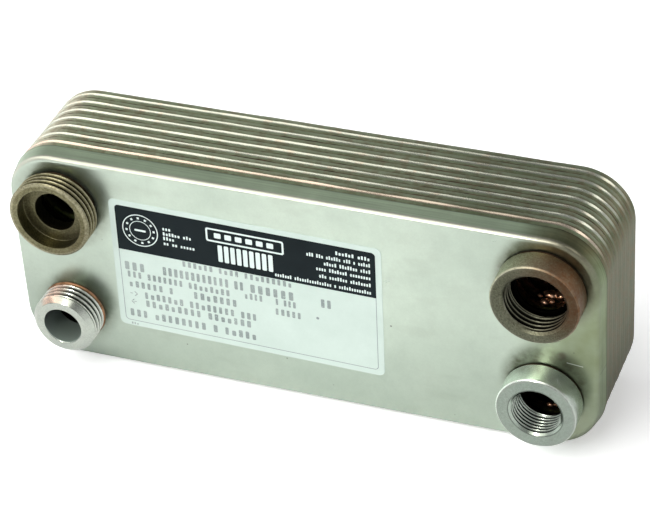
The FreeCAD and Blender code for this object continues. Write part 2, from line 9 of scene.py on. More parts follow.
import bmesh
import bpy
import numpy as np
from mathutils import Matrix, Vector, noise
from mathutils.geometry import delaunay_2d_cdt


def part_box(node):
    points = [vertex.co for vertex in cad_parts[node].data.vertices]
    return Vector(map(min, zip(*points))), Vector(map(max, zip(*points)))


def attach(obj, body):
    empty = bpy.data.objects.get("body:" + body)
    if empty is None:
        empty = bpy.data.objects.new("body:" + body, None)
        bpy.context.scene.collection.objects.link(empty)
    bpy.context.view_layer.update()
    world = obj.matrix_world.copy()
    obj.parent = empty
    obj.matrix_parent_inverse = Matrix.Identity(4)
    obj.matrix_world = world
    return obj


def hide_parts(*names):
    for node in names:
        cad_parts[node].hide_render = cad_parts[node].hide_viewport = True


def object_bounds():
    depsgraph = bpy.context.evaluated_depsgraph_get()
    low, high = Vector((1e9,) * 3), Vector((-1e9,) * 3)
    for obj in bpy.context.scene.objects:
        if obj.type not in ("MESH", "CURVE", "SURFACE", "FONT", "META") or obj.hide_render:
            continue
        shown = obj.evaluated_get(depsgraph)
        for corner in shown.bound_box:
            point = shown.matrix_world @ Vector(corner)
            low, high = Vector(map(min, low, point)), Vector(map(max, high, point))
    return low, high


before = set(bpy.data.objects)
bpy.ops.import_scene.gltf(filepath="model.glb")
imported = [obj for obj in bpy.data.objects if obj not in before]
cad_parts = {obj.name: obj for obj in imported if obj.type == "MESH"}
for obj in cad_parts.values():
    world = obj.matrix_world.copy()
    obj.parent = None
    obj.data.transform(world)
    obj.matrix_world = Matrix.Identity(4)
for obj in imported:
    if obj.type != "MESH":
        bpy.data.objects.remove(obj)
cad_low, cad_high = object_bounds()

# --------------------------------------------------------------------- sizes
MM = 0.001
FRONT = -34.5
FLARE = 0.18534                     # outward slope of the skirts, tan 10.5 deg
SLANT = math.sqrt(1 + FLARE ** 2)
CORNER_X, CORNER_Z = 78.10, 21.55   # centres of the corner radii
EDGE_RADIUS = 16.60                 # corner radius of the cover at its free edge
COVER_SHEET = 0.80
COVER_DEPTH = 5.85
BEND_RADIUS = 1.70                  # outside of the bend between face and skirt
PITCH = 2.30                        # from one plate to the next
PLATE_SKIRT = 5.5                   # depth of a plate's skirt behind its flat
EDGE_STAGGER = 0.12                 # odd plates reach further back, even ones less
PLATES = range(1, 15)

# port centres (x, z)
PORTS = {"heating_inlet": (-77.0, 20.0), "domestic_inlet": (-77.0, -20.0),
         "heating_outlet": (77.0, 20.0), "domestic_outlet": (77.0, -20.0)}
# fitting radius inside the cover, radius where it meets the face, height of its rim
SPIGOT = {"heating_inlet": 9.00, "domestic_inlet": 8.00,
          "heating_outlet": 9.70, "domestic_outlet": 9.20}
NECK = {"heating_inlet": 11.90, "domestic_inlet": 9.25,
        "heating_outlet": 12.95, "domestic_outlet": 11.98}
RIM = {"heating_inlet": 8.16, "domestic_inlet": 9.28,
       "heating_outlet": 8.54, "domestic_outlet": 8.35}


def cover_radius(depth):
    return EDGE_RADIUS + (depth - COVER_DEPTH) * FLARE


def plate_inset():
    """How far the first plate's skirt runs inside the cover's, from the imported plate."""
    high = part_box("plate_01")[1]
    return CORNER_X + cover_radius(high[1] / MM - FRONT) - high[0] / MM


PLATE_INSET = plate_inset()


def plate_radius(i, depth):
    return cover_radius(depth - (i - 1) * PITCH) - PLATE_INSET


def plate_back(i):
    """Depth of the back of plate i's flat."""
    return COVER_SHEET + i * PITCH


def plate_edge(i):
    """Depth of plate i's free edge; 0 is the front cover."""
    if i == 0:
        return COVER_DEPTH
    return plate_back(i) + PLATE_SKIRT + (EDGE_STAGGER if i % 2 else -EDGE_STAGGER)


# -------------------------------------------------------------- mesh helpers
def wobble(x, y, z, scale, seed):
    """Smooth noise between about -1 and 1."""
    return noise.noise(Vector((x * scale + seed * 13.7, y * scale - seed * 7.3,
                               z * scale + seed * 3.1)))


def link(ob):
    bpy.context.scene.collection.objects.link(ob)
    return ob


def place(name, mesh, slot, node=None):
    """Put a mesh in the scene, riding the root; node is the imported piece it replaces."""
    ob = link(bpy.data.objects.new(name, mesh))
    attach(ob, "root")
    if node:
        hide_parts(node)
    return ob


def add_attributes(mesh, attributes):
    for key, values in attributes.items():
        layer = mesh.attributes.new(key, "FLOAT", "POINT")
        layer.data.foreach_set("value", np.asarray(values, np.float32))


def shade(mesh, sharp):
    mesh.shade_smooth()
    mesh.set_sharp_from_angle(angle=math.radians(sharp))


def make_object(name, verts, faces, material, slot, node=None, sharp=32.0, attributes=None):
    """Object from vertices in mm; edges steeper than sharp degrees stay sharp."""
    mesh = bpy.data.meshes.new(name)
    mesh.from_pydata([tuple(c * MM for c in v) for v in verts], [], faces)
    mesh.validate(clean_customdata=False)
    add_attributes(mesh, attributes or {})
    bm = bmesh.new()
    bm.from_mesh(mesh)
    bmesh.ops.recalc_face_normals(bm, faces=bm.faces)
    bm.to_mesh(mesh)
    bm.free()
    shade(mesh, sharp)
    mesh.materials.append(material)
    return place(name, mesh, slot, node)


def grid_faces(rows, columns, first=0, wrap_rows=True, wrap_columns=True):
    """Quads over a grid of vertices numbered row by row from first."""
    faces = []
    for row in range(rows if wrap_rows else rows - 1):
        here = first + row * columns
        there = first + (row + 1) % rows * columns
        for column in range(columns if wrap_columns else columns - 1):
            after = (column + 1) % columns
            faces.append((here + column, here + after, there + after, there + column))
    return faces


def perimeter(step, corner_steps):
    """Stations round the rounded rectangle: centre x, centre z, outward normal x, normal z."""
    corners = [(CORNER_X, CORNER_Z), (-CORNER_X, CORNER_Z),
               (-CORNER_X, -CORNER_Z), (CORNER_X, -CORNER_Z)]
    normals = [(0, 1), (-1, 0), (0, -1), (1, 0)]
    counts = [round(2 * CORNER_X / step), round(2 * CORNER_Z / step)]
    stations = []
    for side, (x0, z0) in enumerate(corners):
        for k in range(corner_steps + 1):
            t = math.radians(90 * side + 90.0 * k / corner_steps)
            stations.append((x0, z0, math.cos(t), math.sin(t)))
        x1, z1 = corners[(side + 1) % 4]
        count = counts[side % 2]
        for k in range(1, count):
            t = k / count
            stations.append((x0 + (x1 - x0) * t, z0 + (z1 - z0) * t, *normals[side]))
    return stations


def sweep(stations, profile_at, closed=True):
    """Sweep profile_at(x, z) -> [(radius, depth)], each of the same count."""
    verts = []
    for cx, cz, nx, nz in stations:
        profile = profile_at(cx + nx * EDGE_RADIUS, cz + nz * EDGE_RADIUS)
        verts += [(cx + nx * r, FRONT + depth, cz + nz * r) for r, depth in profile]
    return verts, grid_faces(len(stations), len(profile), wrap_columns=closed)


# ------------------------------------------------------------ node materials
class Net:
    """Node tree of one material. Positions are in mm in the object's axes.

    over=(a, b) is the range a value is read over, to=(a, b) the range it becomes.
    """

    def __init__(self, name):
        self.material = bpy.data.materials.new(name)
        self.material.use_nodes = True
        self.tree = self.material.node_tree
        self.tree.nodes.clear()
        output = self.node("OutputMaterial")
        self.shader = self.node("BsdfPrincipled")
        self.tree.links.new(self.shader.outputs[0], output.inputs[0])
        coordinates = self.node("TexCoord").outputs["Object"]
        self.position = self.vector("SCALE", coordinates, scale=1 / MM)

    @cached_property
    def axes(self):
        return self.node("SeparateXYZ", {0: self.position}).outputs

    x = property(lambda self: self.axes[0])
    y = property(lambda self: self.axes[1])
    z = property(lambda self: self.axes[2])

    def put(self, socket, value):
        """Link a socket into an input, or set a constant (colours gain an alpha of 1)."""
        if isinstance(value, bpy.types.NodeSocket):
            self.tree.links.new(value, socket)
            return
        if isinstance(value, tuple) and len(value) == 3 and len(socket.default_value) == 4:
            value += (1.0,)
        socket.default_value = value

    def node(self, kind, inputs=None, **settings):
        node = self.tree.nodes.new("ShaderNode" + kind)
        for key, value in settings.items():
            setattr(node, key, value)
        for key, value in (inputs or {}).items():
            self.put(node.inputs[key], value)
        return node

    def vector(self, operation, first, second=None, scale=None):
        inputs = {0: first}
        if second is not None:
            inputs[1] = second
        if scale is not None:
            inputs["Scale"] = scale
        node = self.node("VectorMath", inputs, operation=operation)
        return node.outputs["Value" if operation in ("LENGTH", "DOT_PRODUCT") else 0]

    def math(self, operation, first, second, clamp=False):
        node = self.node("Math", {0: first, 1: second}, operation=operation, use_clamp=clamp)
        return node.outputs[0]

    def times(self, value, *factors):
        for factor in factors:
            value = self.math("MULTIPLY", value, factor)
        return value

    def linear(self, value, over, to=(0.0, 1.0), kind="LINEAR"):
        inputs = {"Value": value, "From Min": over[0], "From Max": over[1],
                  "To Min": to[0], "To Max": to[1]}
        return self.node("MapRange", inputs, interpolation_type=kind).outputs[0]

    def smooth(self, value, over, to=(0.0, 1.0)):
        return self.linear(value, over, to, kind="SMOOTHSTEP")

    def by_depth(self, start, end, to=(0.0, 1.0)):
        """Smooth change between two depths behind the front face."""
        return self.smooth(self.y, (FRONT + start, FRONT + end), to)

    def seeded(self, place, seed):
        return self.vector("ADD", place, (seed * 17.3, seed * -9.1, seed * 5.7))

    def noise(self, scale, detail=3.0, rough=0.6, stretch=None, offset=None, seed=0):
        place = self.position
        if offset is not None:
            place = self.vector("ADD", place, offset)
        if stretch is not None:
            place = self.vector("MULTIPLY", place, stretch)
        if seed:
            place = self.seeded(place, seed)
        inputs = {"Vector": place, "Scale": scale, "Detail": detail, "Roughness": rough}
        return self.node("TexNoise", inputs).outputs[0]

    def mix(self, weight, low, high):
        return self.node("Mix", {0: weight, 6: low, 7: high}, data_type="RGBA").outputs[2]

    def mix_value(self, weight, low, high):
        return self.node("Mix", {0: weight, 2: low, 3: high}, data_type="FLOAT").outputs[0]

    def tint(self, colour, mask, to, amount=None):
        """Colour turned to another where the mask is 1."""
        if amount is not None:
            mask = self.times(mask, amount)
        return self.mix(mask, colour, to)

    def gain(self, colour, factor):
        return self.vector("SCALE", colour, scale=factor)

    def attribute(self, name):
        return self.node("Attribute", attribute_name=name).outputs["Fac"]

    def around(self, centre, full, none, stretch=(1.0, 1.0)):
        """1 within radius full of a point (x, z), 0 beyond radius none."""
        offset = self.vector("SUBTRACT", self.position, (centre[0], 0.0, centre[1]))
        offset = self.vector("MULTIPLY", offset, (stretch[0], 0.0, stretch[1]))
        return self.smooth(self.vector("LENGTH", offset), (full, none), (1.0, 0.0))

    def segment(self, start, end, width):
        """1 on a straight mark between two points (x, z), 0 at width from it."""
        length = math.dist(start, end)
        along = ((end[0] - start[0]) / length, 0.0, (end[1] - start[1]) / length)
        offset = self.vector("SUBTRACT", self.position, (start[0], 0.0, start[1]))
        reach = self.vector("DOT_PRODUCT", offset, along)
        reach = self.math("MINIMUM", self.math("MAXIMUM", reach, 0.0), length)
        nearest = self.vector("SCALE", along, scale=reach)
        gap = self.vector("SUBTRACT", offset, nearest)
        gap = self.vector("MULTIPLY", gap, (1.0, 0.0, 1.0))
        return self.smooth(self.vector("LENGTH", gap), (0.0, width), (1.0, 0.0))

    def bump(self, source, strength, distance, below=None):
        inputs = {"Strength": strength, "Distance": distance * MM, "Height": source}
        if below is not None:
            inputs["Normal"] = below
        return self.node("Bump", inputs).outputs[0]

    def finish(self, inputs):
        """Set the shader's inputs and return the material."""
        for key, value in inputs.items():
            self.put(self.shader.inputs[key], value)
        return self.material

    def finish_metal(self, colour, roughness, normal, metallic=1.0):
        return self.finish({"Base Color": colour, "Roughness": roughness,
                            "Metallic": metallic, "Normal": normal})


# radius of the darker olive ring round each port and its strength
PORT_DARK_RINGS = (("heating_inlet", 14.5, 0.34), ("domestic_inlet", 12.0, 0.30),
               ("heating_outlet", 14.7, 0.50), ("domestic_outlet", 13.6, 0.15))
# painted shadow and dark reflection up and right of each fitting: shift in x, shift in z, radius,
# strength
FITTING_SHADOW_HALOS = (("heating_inlet", 3.5, 0.0, 12.6, 0.22), ("domestic_inlet", 3.0, 3.5, 10.5, 0.45),
               ("heating_outlet", 2.0, 3.6, 13.6, 0.88), ("domestic_outlet", 1.0, 6.0, 11.6, 1.0))


def front_marks_and_shadows(net, steel, medium):
    """Heat and handling marks on the front face, and the painted shadow halos by the fittings."""
    # copper coloured flash above the upper right port
    flash = net.around((84.0, 34.0), full=2.0, none=12.0, stretch=(0.75, 1.3))
    flash = net.times(flash, net.linear(medium, over=(0.3, 0.7), to=(0.5, 1.0)))
    steel = net.tint(steel, flash, to=(0.30, 0.17, 0.09), amount=0.65)
    blotch = net.noise(scale=0.35, seed=5)
    for port, radius, amount in PORT_DARK_RINGS:
        near = net.times(net.around(PORTS[port], full=radius - 1.0, none=radius + 2.8),
                         net.linear(blotch, over=(0.3, 0.7), to=(0.4, 1.0)))
        steel = net.tint(steel, near, to=(0.24, 0.24, 0.17), amount=amount)
    # dark halo up and right of each fitting: painted shadow and reflection of the fitting
    for port, dx, dz, radius, amount in FITTING_SHADOW_HALOS:
        centre = (PORTS[port][0] + dx, PORTS[port][1] + dz)
        near = net.times(net.around(centre, full=radius - 1.5, none=radius + 4.0),
                         net.linear(blotch, over=(0.3, 0.7), to=(0.6, 1.0)))
        steel = net.tint(steel, near, to=(0.125, 0.128, 0.088), amount=amount)
    corner = net.times(net.around((88.0, -32.0), full=0.0, none=14.0),
                       net.linear(medium, over=(0.35, 0.65), to=(0.05, 0.30)))
    steel = net.tint(steel, corner, to=(0.40, 0.37, 0.17))
    spot = net.around((82.8, -3.3), full=0.3, none=2.2)
    steel = net.tint(steel, spot, to=(0.13, 0.105, 0.085), amount=0.70)
    speck = net.around((29.7, -3.7), full=0.12, none=0.42)
    steel = net.tint(steel, speck, to=(0.09, 0.10, 0.08), amount=0.85)
    bright_scratch = net.segment((84.3, -5.5), (89.1, -6.0), width=0.22)
    steel = net.tint(steel, bright_scratch, to=(0.95, 0.97, 0.92), amount=0.85)
    dark_scratch = net.segment((94.0, -9.0), (94.9, -7.6), width=0.16)
    return net.tint(steel, dark_scratch, to=(0.10, 0.10, 0.08), amount=0.6)


def front_shading(net, steel, fine):
    """Painted shade at the ends, foot and sheared edge; a painted highlight on the upper bend;
    the duller, greener skirt.
    """
    # painted shade: darker towards the foot and towards both ends
    steel = net.gain(steel, net.smooth(net.z, over=(12.0, -34.0), to=(1.0, 0.76)))
    steel = net.gain(steel, net.smooth(net.x, over=(-40.0, -92.0), to=(1.0, 0.90)))
    steel = net.gain(steel, net.smooth(net.x, over=(22.0, 60.0), to=(1.0, 0.92)))
    greener = net.vector("MULTIPLY", steel, (0.86, 0.93, 0.80))
    steel = net.tint(steel, net.by_depth(0.9, 2.0), to=greener)
    # painted highlight: a pale cream line along the upper bend, on the top side only and fading
    # to the right
    bend = net.times(net.by_depth(0.05, 0.35), net.by_depth(1.7, 1.2))
    upper = net.times(net.smooth(net.z, over=(24.0, 31.0)),
                      net.smooth(net.x, over=(90.0, 62.0), to=(0.15, 1.0)))
    bend = net.times(bend, upper)
    bend = net.times(bend, net.linear(fine, over=(0.3, 0.7), to=(0.35, 0.85)))
    steel = net.tint(steel, bend, to=(0.66, 0.645, 0.545))
    grain = net.noise(scale=1.0, stretch=(0.03, 2.2, 0.03), seed=12)
    grain = net.linear(grain, over=(0.3, 0.7), to=(0.84, 1.14))
    steel = net.gain(steel, net.mix_value(net.by_depth(0.9, 2.0), low=1.0, high=grain))
    # painted shade on the skirt's sheared free edge, dark like the gap under it
    return net.gain(steel, net.by_depth(5.35, 5.75, to=(1.0, 0.45)))


def cover_material(name, front):
    net = Net(name)
    broad = net.noise(scale=0.028, rough=0.55, seed=1)
    medium = net.noise(scale=0.16, detail=4.0, seed=2)
    fine = net.noise(scale=1.5, seed=3)
    steel = net.mix(net.linear(broad, over=(0.35, 0.65)),
                    low=(0.575, 0.672, 0.570), high=(0.645, 0.742, 0.632))
    steel = net.gain(steel, net.linear(medium, over=(0.25, 0.75), to=(0.94, 1.05)))
    steel = net.gain(steel, net.linear(fine, over=(0.2, 0.8), to=(0.965, 1.03)))
    # straw and brown heat tint towards the end with the two female ports, laid on strongly so it
    # also paints the shade on that end
    heat = net.linear(net.noise(scale=0.06, seed=4), over=(0.25, 0.7), to=(0.55, 1.0))
    heat = net.times(net.smooth(net.x, over=(64.0, 91.0)), heat,
                     net.smooth(net.z, over=(-12.0, -30.0), to=(1.0, 0.62)))
    steel = net.tint(steel, heat, to=(0.225, 0.265, 0.125), amount=0.95)
    if front:
        steel = front_marks_and_shadows(net, steel, medium)
    # sparse dark specks and faint smears
    cells = net.node("TexVoronoi", {"Vector": net.seeded(net.position, 6), "Scale": 0.22})
    specks = net.times(
        net.smooth(cells.outputs["Distance"], over=(0.035, 0.075), to=(1.0, 0.0)),
        net.smooth(net.noise(scale=0.12, detail=2.0, rough=0.5, seed=7), over=(0.55, 0.62)))
    steel = net.tint(steel, specks, to=(0.16, 0.17, 0.13), amount=0.65)
    smear = net.noise(scale=0.10, stretch=(0.35, 1.0, 1.0), seed=8)
    smear = net.smooth(smear, over=(0.56, 0.72))
    steel = net.tint(steel, smear, to=(0.42, 0.46, 0.38), amount=0.16)
    if front:
        steel = front_shading(net, steel, fine)
    else:
        # painted shade on the wall at the blind end of each port, mixed with braze stain
        for centre in PORTS.values():
            near = net.times(net.around(centre, full=9.3, none=10.0),
                             net.smooth(net.y, over=(-1.10, -1.30)))
            stain = net.mix(net.linear(medium, over=(0.35, 0.65)),
                            low=(0.030, 0.024, 0.018), high=(0.13, 0.075, 0.045))
            steel = net.tint(steel, near, to=stain, amount=0.95)
    roughness = net.math("ADD", net.linear(medium, over=(0.25, 0.75), to=(0.27, 0.37)),
                         net.times(smear, 0.06))
    normal = net.bump(net.noise(scale=0.05, detail=2.0, rough=0.5, seed=9),
                      strength=0.35, distance=0.5)
    normal = net.bump(net.noise(scale=3.2, seed=10), strength=0.10, distance=0.02, below=normal)
    return net.finish_metal(steel, roughness, normal)


# how much copper shows on the plate rims inside each port; the inlets, painted dark, show none
PORT_COPPER = {"heating_inlet": 0.0, "domestic_inlet": 0.0,
               "heating_outlet": 0.70, "domestic_outlet": 0.30}


def plate_material():
    net = Net("plate_steel")
    from_edge = net.attribute("fromedge")
    from_root = net.attribute("fromroot")
    plate = net.attribute("pid")
    # every plate reads the noise at its own place
    shift = net.node("CombineXYZ", {0: net.times(plate, 31.7), 2: net.times(plate, 17.1)})
    shift = shift.outputs[0]
    broad = net.noise(scale=0.05, offset=shift)
    medium = net.noise(scale=0.30, detail=4.0, offset=shift, seed=1)
    fine = net.noise(scale=1.4, offset=shift, seed=2)
    steel = net.mix(net.linear(broad, over=(0.3, 0.7)),
                    low=(0.32, 0.40, 0.235), high=(0.485, 0.575, 0.38))
    steel = net.gain(steel, net.linear(fine, over=(0.2, 0.8), to=(0.88, 1.10)))
    # painted highlight: pale corner over the inlet end
    steel = net.gain(steel, net.smooth(net.x, over=(-66.0, -88.0), to=(1.0, 1.35)))
    corner = net.times(net.smooth(net.x, over=(-77.0, -84.0)),
                       net.smooth(net.z, over=(24.0, 33.0)),
                       net.linear(medium, over=(0.3, 0.7), to=(0.55, 1.0)))
    steel = net.tint(steel, corner, to=(0.82, 0.75, 0.57))
    # brown heat tint in patches, and a brown tint on the right-hand end that paints its shade
    steel = net.tint(steel, net.smooth(medium, over=(0.46, 0.68)),
                     to=(0.26, 0.235, 0.135), amount=0.45)
    brown = net.mix(net.linear(medium, over=(0.36, 0.66)),
                    low=(0.100, 0.110, 0.056), high=(0.176, 0.146, 0.084))
    steel = net.tint(steel, net.smooth(net.x, over=(84.5, 93.0)), to=brown, amount=0.88)
    # copper that crept out over the skirt, from the root of the step
    creep = net.times(net.linear(medium, over=(0.30, 0.70), to=(0.9, 2.6)), 1.0)
    share = net.math("DIVIDE", from_root, net.math("MAXIMUM", creep, 0.05))
    copper = net.math("SUBTRACT", 1.0, share, clamp=True)
    copper = net.times(net.smooth(copper, over=(0.0, 0.55)),
                       net.linear(broad, over=(0.3, 0.7), to=(0.45, 1.0)))
    copper_colour = net.mix(net.linear(fine, over=(0.3, 0.7)),
                            low=(0.155, 0.125, 0.075), high=(0.31, 0.25, 0.165))
    steel = net.tint(steel, copper, to=copper_colour, amount=0.60)
    # painted highlight on the sheared free edge: bright on the odd plates, faint on the even
    # ones, fading on the right-hand end, here and there coppery and peach on the first plate
    edge_highlight_colour = net.mix(net.smooth(medium, over=(0.5, 0.7)),
                          low=(0.80, 0.83, 0.71), high=(0.84, 0.76, 0.61))
    edge = net.times(
        net.smooth(from_edge, over=(0.66, 0.94), to=(1.0, 0.0)),
        net.linear(net.math("MODULO", plate, 2.0), over=(0.0, 1.0), to=(0.15, 1.0)),
        net.linear(broad, over=(0.25, 0.6), to=(0.75, 1.0)),
        net.smooth(net.x, over=(88.0, 94.0), to=(1.0, 0.06)))
    first_plate = net.smooth(plate, over=(1.5, 1.2))
    edge_highlight_colour = net.tint(edge_highlight_colour, first_plate, to=(0.95, 0.72, 0.58), amount=0.65)
    steel = net.tint(steel, edge, to=edge_highlight_colour)
    # painted shade inside the ports, with copper on some rims
    for port, amount in PORT_COPPER.items():
        dark = net.tint((0.045, 0.040, 0.030), net.smooth(medium, over=(0.40, 0.66)),
                        to=(0.62, 0.30, 0.17), amount=amount)
        steel = net.tint(steel, net.around(PORTS[port], full=9.8, none=11.2), to=dark)
    roughness = net.linear(medium, over=(0.25, 0.75), to=(0.26, 0.42))
    roughness = net.mix_value(edge, low=roughness, high=0.22)
    # painted light and shade along the pack: lighter at the left, darker towards the middle
    # right, light again near the right-hand corner, and the right-hand end darker towards the
    # foot
    bright = net.times(net.linear(net.x, over=(-60.0, 20.0), to=(1.04, 0.90)),
                       net.smooth(net.x, over=(10.0, 68.0), to=(1.0, 0.72)))
    bright = net.mix_value(net.smooth(net.x, over=(74.0, 87.0)), low=bright, high=1.04)
    bright = net.mix_value(net.smooth(net.x, over=(89.0, 93.0)), low=bright,
                           high=net.linear(net.z, over=(-30.0, -8.0), to=(0.76, 0.90)))
    steel = net.gain(steel, bright)
    streaks = net.noise(scale=0.9, stretch=(0.25, 1.0, 0.25), offset=shift)
    normal = net.bump(streaks, strength=0.35, distance=0.08)
    normal = net.bump(fine, strength=0.2, distance=0.03, below=normal)
    return net.finish_metal(steel, roughness, normal)


def copper_material(name, dark, light, roughness, light_over=(0.3, 0.7)):
    net = Net(name)
    fine = net.noise(scale=2.2, seed=2)
    colour = net.mix(net.linear(net.noise(scale=0.35, detail=4.0), light_over), dark, light)
    colour = net.gain(colour, net.linear(fine, over=(0.2, 0.8), to=(0.85, 1.12)))
    normal = net.bump(net.noise(scale=1.6, seed=4), strength=0.5, distance=0.10)
    return net.finish_metal(colour, net.linear(fine, over=(0.2, 0.8), to=roughness), normal)


def fitting_material(name, port, base, light, brown, crest, roughness, root_dark, valley,
                     lathe, mottle=0.10, worn=0.55, brown_patch=None, rim_gain=None,
                     inside=None, bore=None, matt_side=None):
    """Turned steel.

    crest: colour of worn crests, by worn, which also paints highlights on crests and rim
    edges; valley: range of the valley attribute over which it darkens to root_dark, as
    oxide and as painted shade; lathe: strength of the fine relief; inside: radius and gain
    within it, painted shade below 1 and painted light above; bore: radius and colour of a
    dull bore, painted light on its lower wall and shade on its upper; brown_patch and
    matt_side: settings of a tinted patch and of the outside wall.
    """
    net = Net(name)
    centre = PORTS[port]
    rim = -RIM[port]
    level = net.attribute("crest")
    medium = net.noise(scale=0.7, detail=4.0, seed=2)
    fine = net.noise(scale=4.0, seed=3)
    steel = net.mix(net.linear(net.noise(scale=0.12, seed=1), over=(0.3, 0.7)), base, light)
    if brown_patch is None:
        steel = net.tint(steel, net.smooth(medium, over=(0.5, 0.75)), to=brown, amount=0.45)
    steel = net.gain(steel, net.linear(fine, over=(0.2, 0.8), to=(0.88, 1.10)))
    mottling = net.noise(scale=1.7, detail=4.0, rough=0.7, seed=6)
    mottling = net.linear(mottling, over=(0.3, 0.7), to=(1.0 - mottle, 1.0 + mottle))
    steel = net.gain(steel, mottling)
    # worn crests are brighter, with a painted highlight on the crests and rim edges; thread roots
    # hold oxide and old sealant, and roots, bores and the neck gap get painted shade
    patches = net.noise(scale=1.1, detail=4.0, rough=0.7, seed=8)
    wear = net.linear(patches, over=(0.36, 0.64), to=(worn * 0.30, min(1.0, worn * 1.30)))
    steel = net.tint(steel, net.times(net.smooth(level, over=(0.70, 1.0)), wear), to=crest)
    # tinted patch: painted shade on the heating inlet's lower right, heat stain on the heating
    # outlet, a painted pink highlight on the domestic inlet's nose chamfer
    if brown_patch is not None:
        stain = net.times(
            net.around(brown_patch["centre"], brown_patch["full"], brown_patch["none"]),
            net.linear(medium, over=(0.25, 0.75), to=(0.6, 1.0)))
        if not brown_patch["on_rim"]:
            stain = net.times(stain, net.by_depth(rim + 0.02, rim + 0.3))
        steel = net.tint(steel, stain, to=brown, amount=brown_patch["amount"])
    root = net.smooth(net.attribute("valley"), over=valley)
    steel = net.gain(steel, net.linear(root, over=(0.0, 1.0), to=(1.0, root_dark)))
    if rim_gain is not None:
        steel = net.gain(steel, net.by_depth(rim + 0.10, rim + 0.02, to=(1.0, rim_gain)))
    # painted shade inside the outlets' bores, painted light in the heating inlet's counterbore
    if inside is not None:
        radius, gain = inside
        within = net.around(centre, full=radius, none=radius + 0.25)
        steel = net.gain(steel, net.linear(within, over=(0.0, 1.0), to=(1.0, gain)))
    shine = net.math("ADD", net.linear(medium, over=(0.2, 0.8), to=roughness),
                     net.times(net.smooth(level, over=(0.5, 0.0)), 0.12))
    if bore is not None:
        radius, bore_colour = bore
        within = net.around(centre, full=radius, none=radius + 0.08)
        # painted light on the bore's lower wall, fading to shade on its upper wall
        light_from_top = net.linear(net.z, over=(centre[1] + 3.5, centre[1] - 6.0),
                                    to=(0.06, 1.0))
        steel = net.tint(steel, within, to=net.gain(bore_colour, light_from_top))
        shine = net.mix_value(within, low=shine, high=0.80)
    normal = net.bump(fine, strength=lathe, distance=0.03)
    normal = net.bump(net.noise(scale=1.2, seed=5), strength=lathe * 1.6, distance=0.06,
                      below=normal)
    metallic = 1.0
    if matt_side is not None:
        # the turned outside is finely matt and darker on its shaded half
        radius = matt_side["radius"]
        wall = net.math("SUBTRACT", 1.0, net.around(centre, full=radius, none=radius + 0.4))
        wall = net.times(wall, net.by_depth(rim + 0.02, rim + 0.10))
        metallic = net.mix_value(wall, low=1.0, high=matt_side["metallic"])
        start, end = matt_side["shade_over"]
        shaded = net.smooth(net.x, over=(centre[0] + start, centre[0] + end),
                            to=(1.0, matt_side["shade"]))
        steel = net.gain(steel, net.mix_value(wall, low=1.0, high=shaded))
    return net.finish_metal(steel, shine, normal, metallic)


def film_material(name, base, variation, roughness, specular=0.5, coat=0.25, worn=None):
    """Printed film; worn is a pair: range of the noise, and the colour it wears to."""
    net = Net(name)
    fine = net.noise(scale=1.1, seed=2)
    colour = net.mix(net.linear(net.noise(scale=0.10, seed=1), over=(0.3, 0.7)),
                     base, variation)
    colour = net.gain(colour, net.linear(fine, over=(0.2, 0.8), to=(0.965, 1.0)))
    if worn is not None:
        over, worn_colour = worn
        wear = net.smooth(net.noise(scale=2.0, detail=4.0, rough=0.65, seed=3), over)
        colour = net.tint(colour, wear, to=worn_colour)
    normal = net.bump(net.noise(scale=0.35, detail=2.0, rough=0.5, seed=5),
                      strength=0.12, distance=0.05)
    normal = net.bump(net.noise(scale=5.0, detail=2.0, rough=0.5, seed=6),
                      strength=0.05, distance=0.02, below=normal)
    shine = net.linear(fine, over=(0.2, 0.8), to=(roughness - 0.05, roughness + 0.06))
    return net.finish({"Base Color": colour, "Roughness": shine, "Metallic": 0.0,
                       "Normal": normal, "Specular IOR Level": specular,
                       "Coat Weight": coat, "Coat Roughness": 0.12})


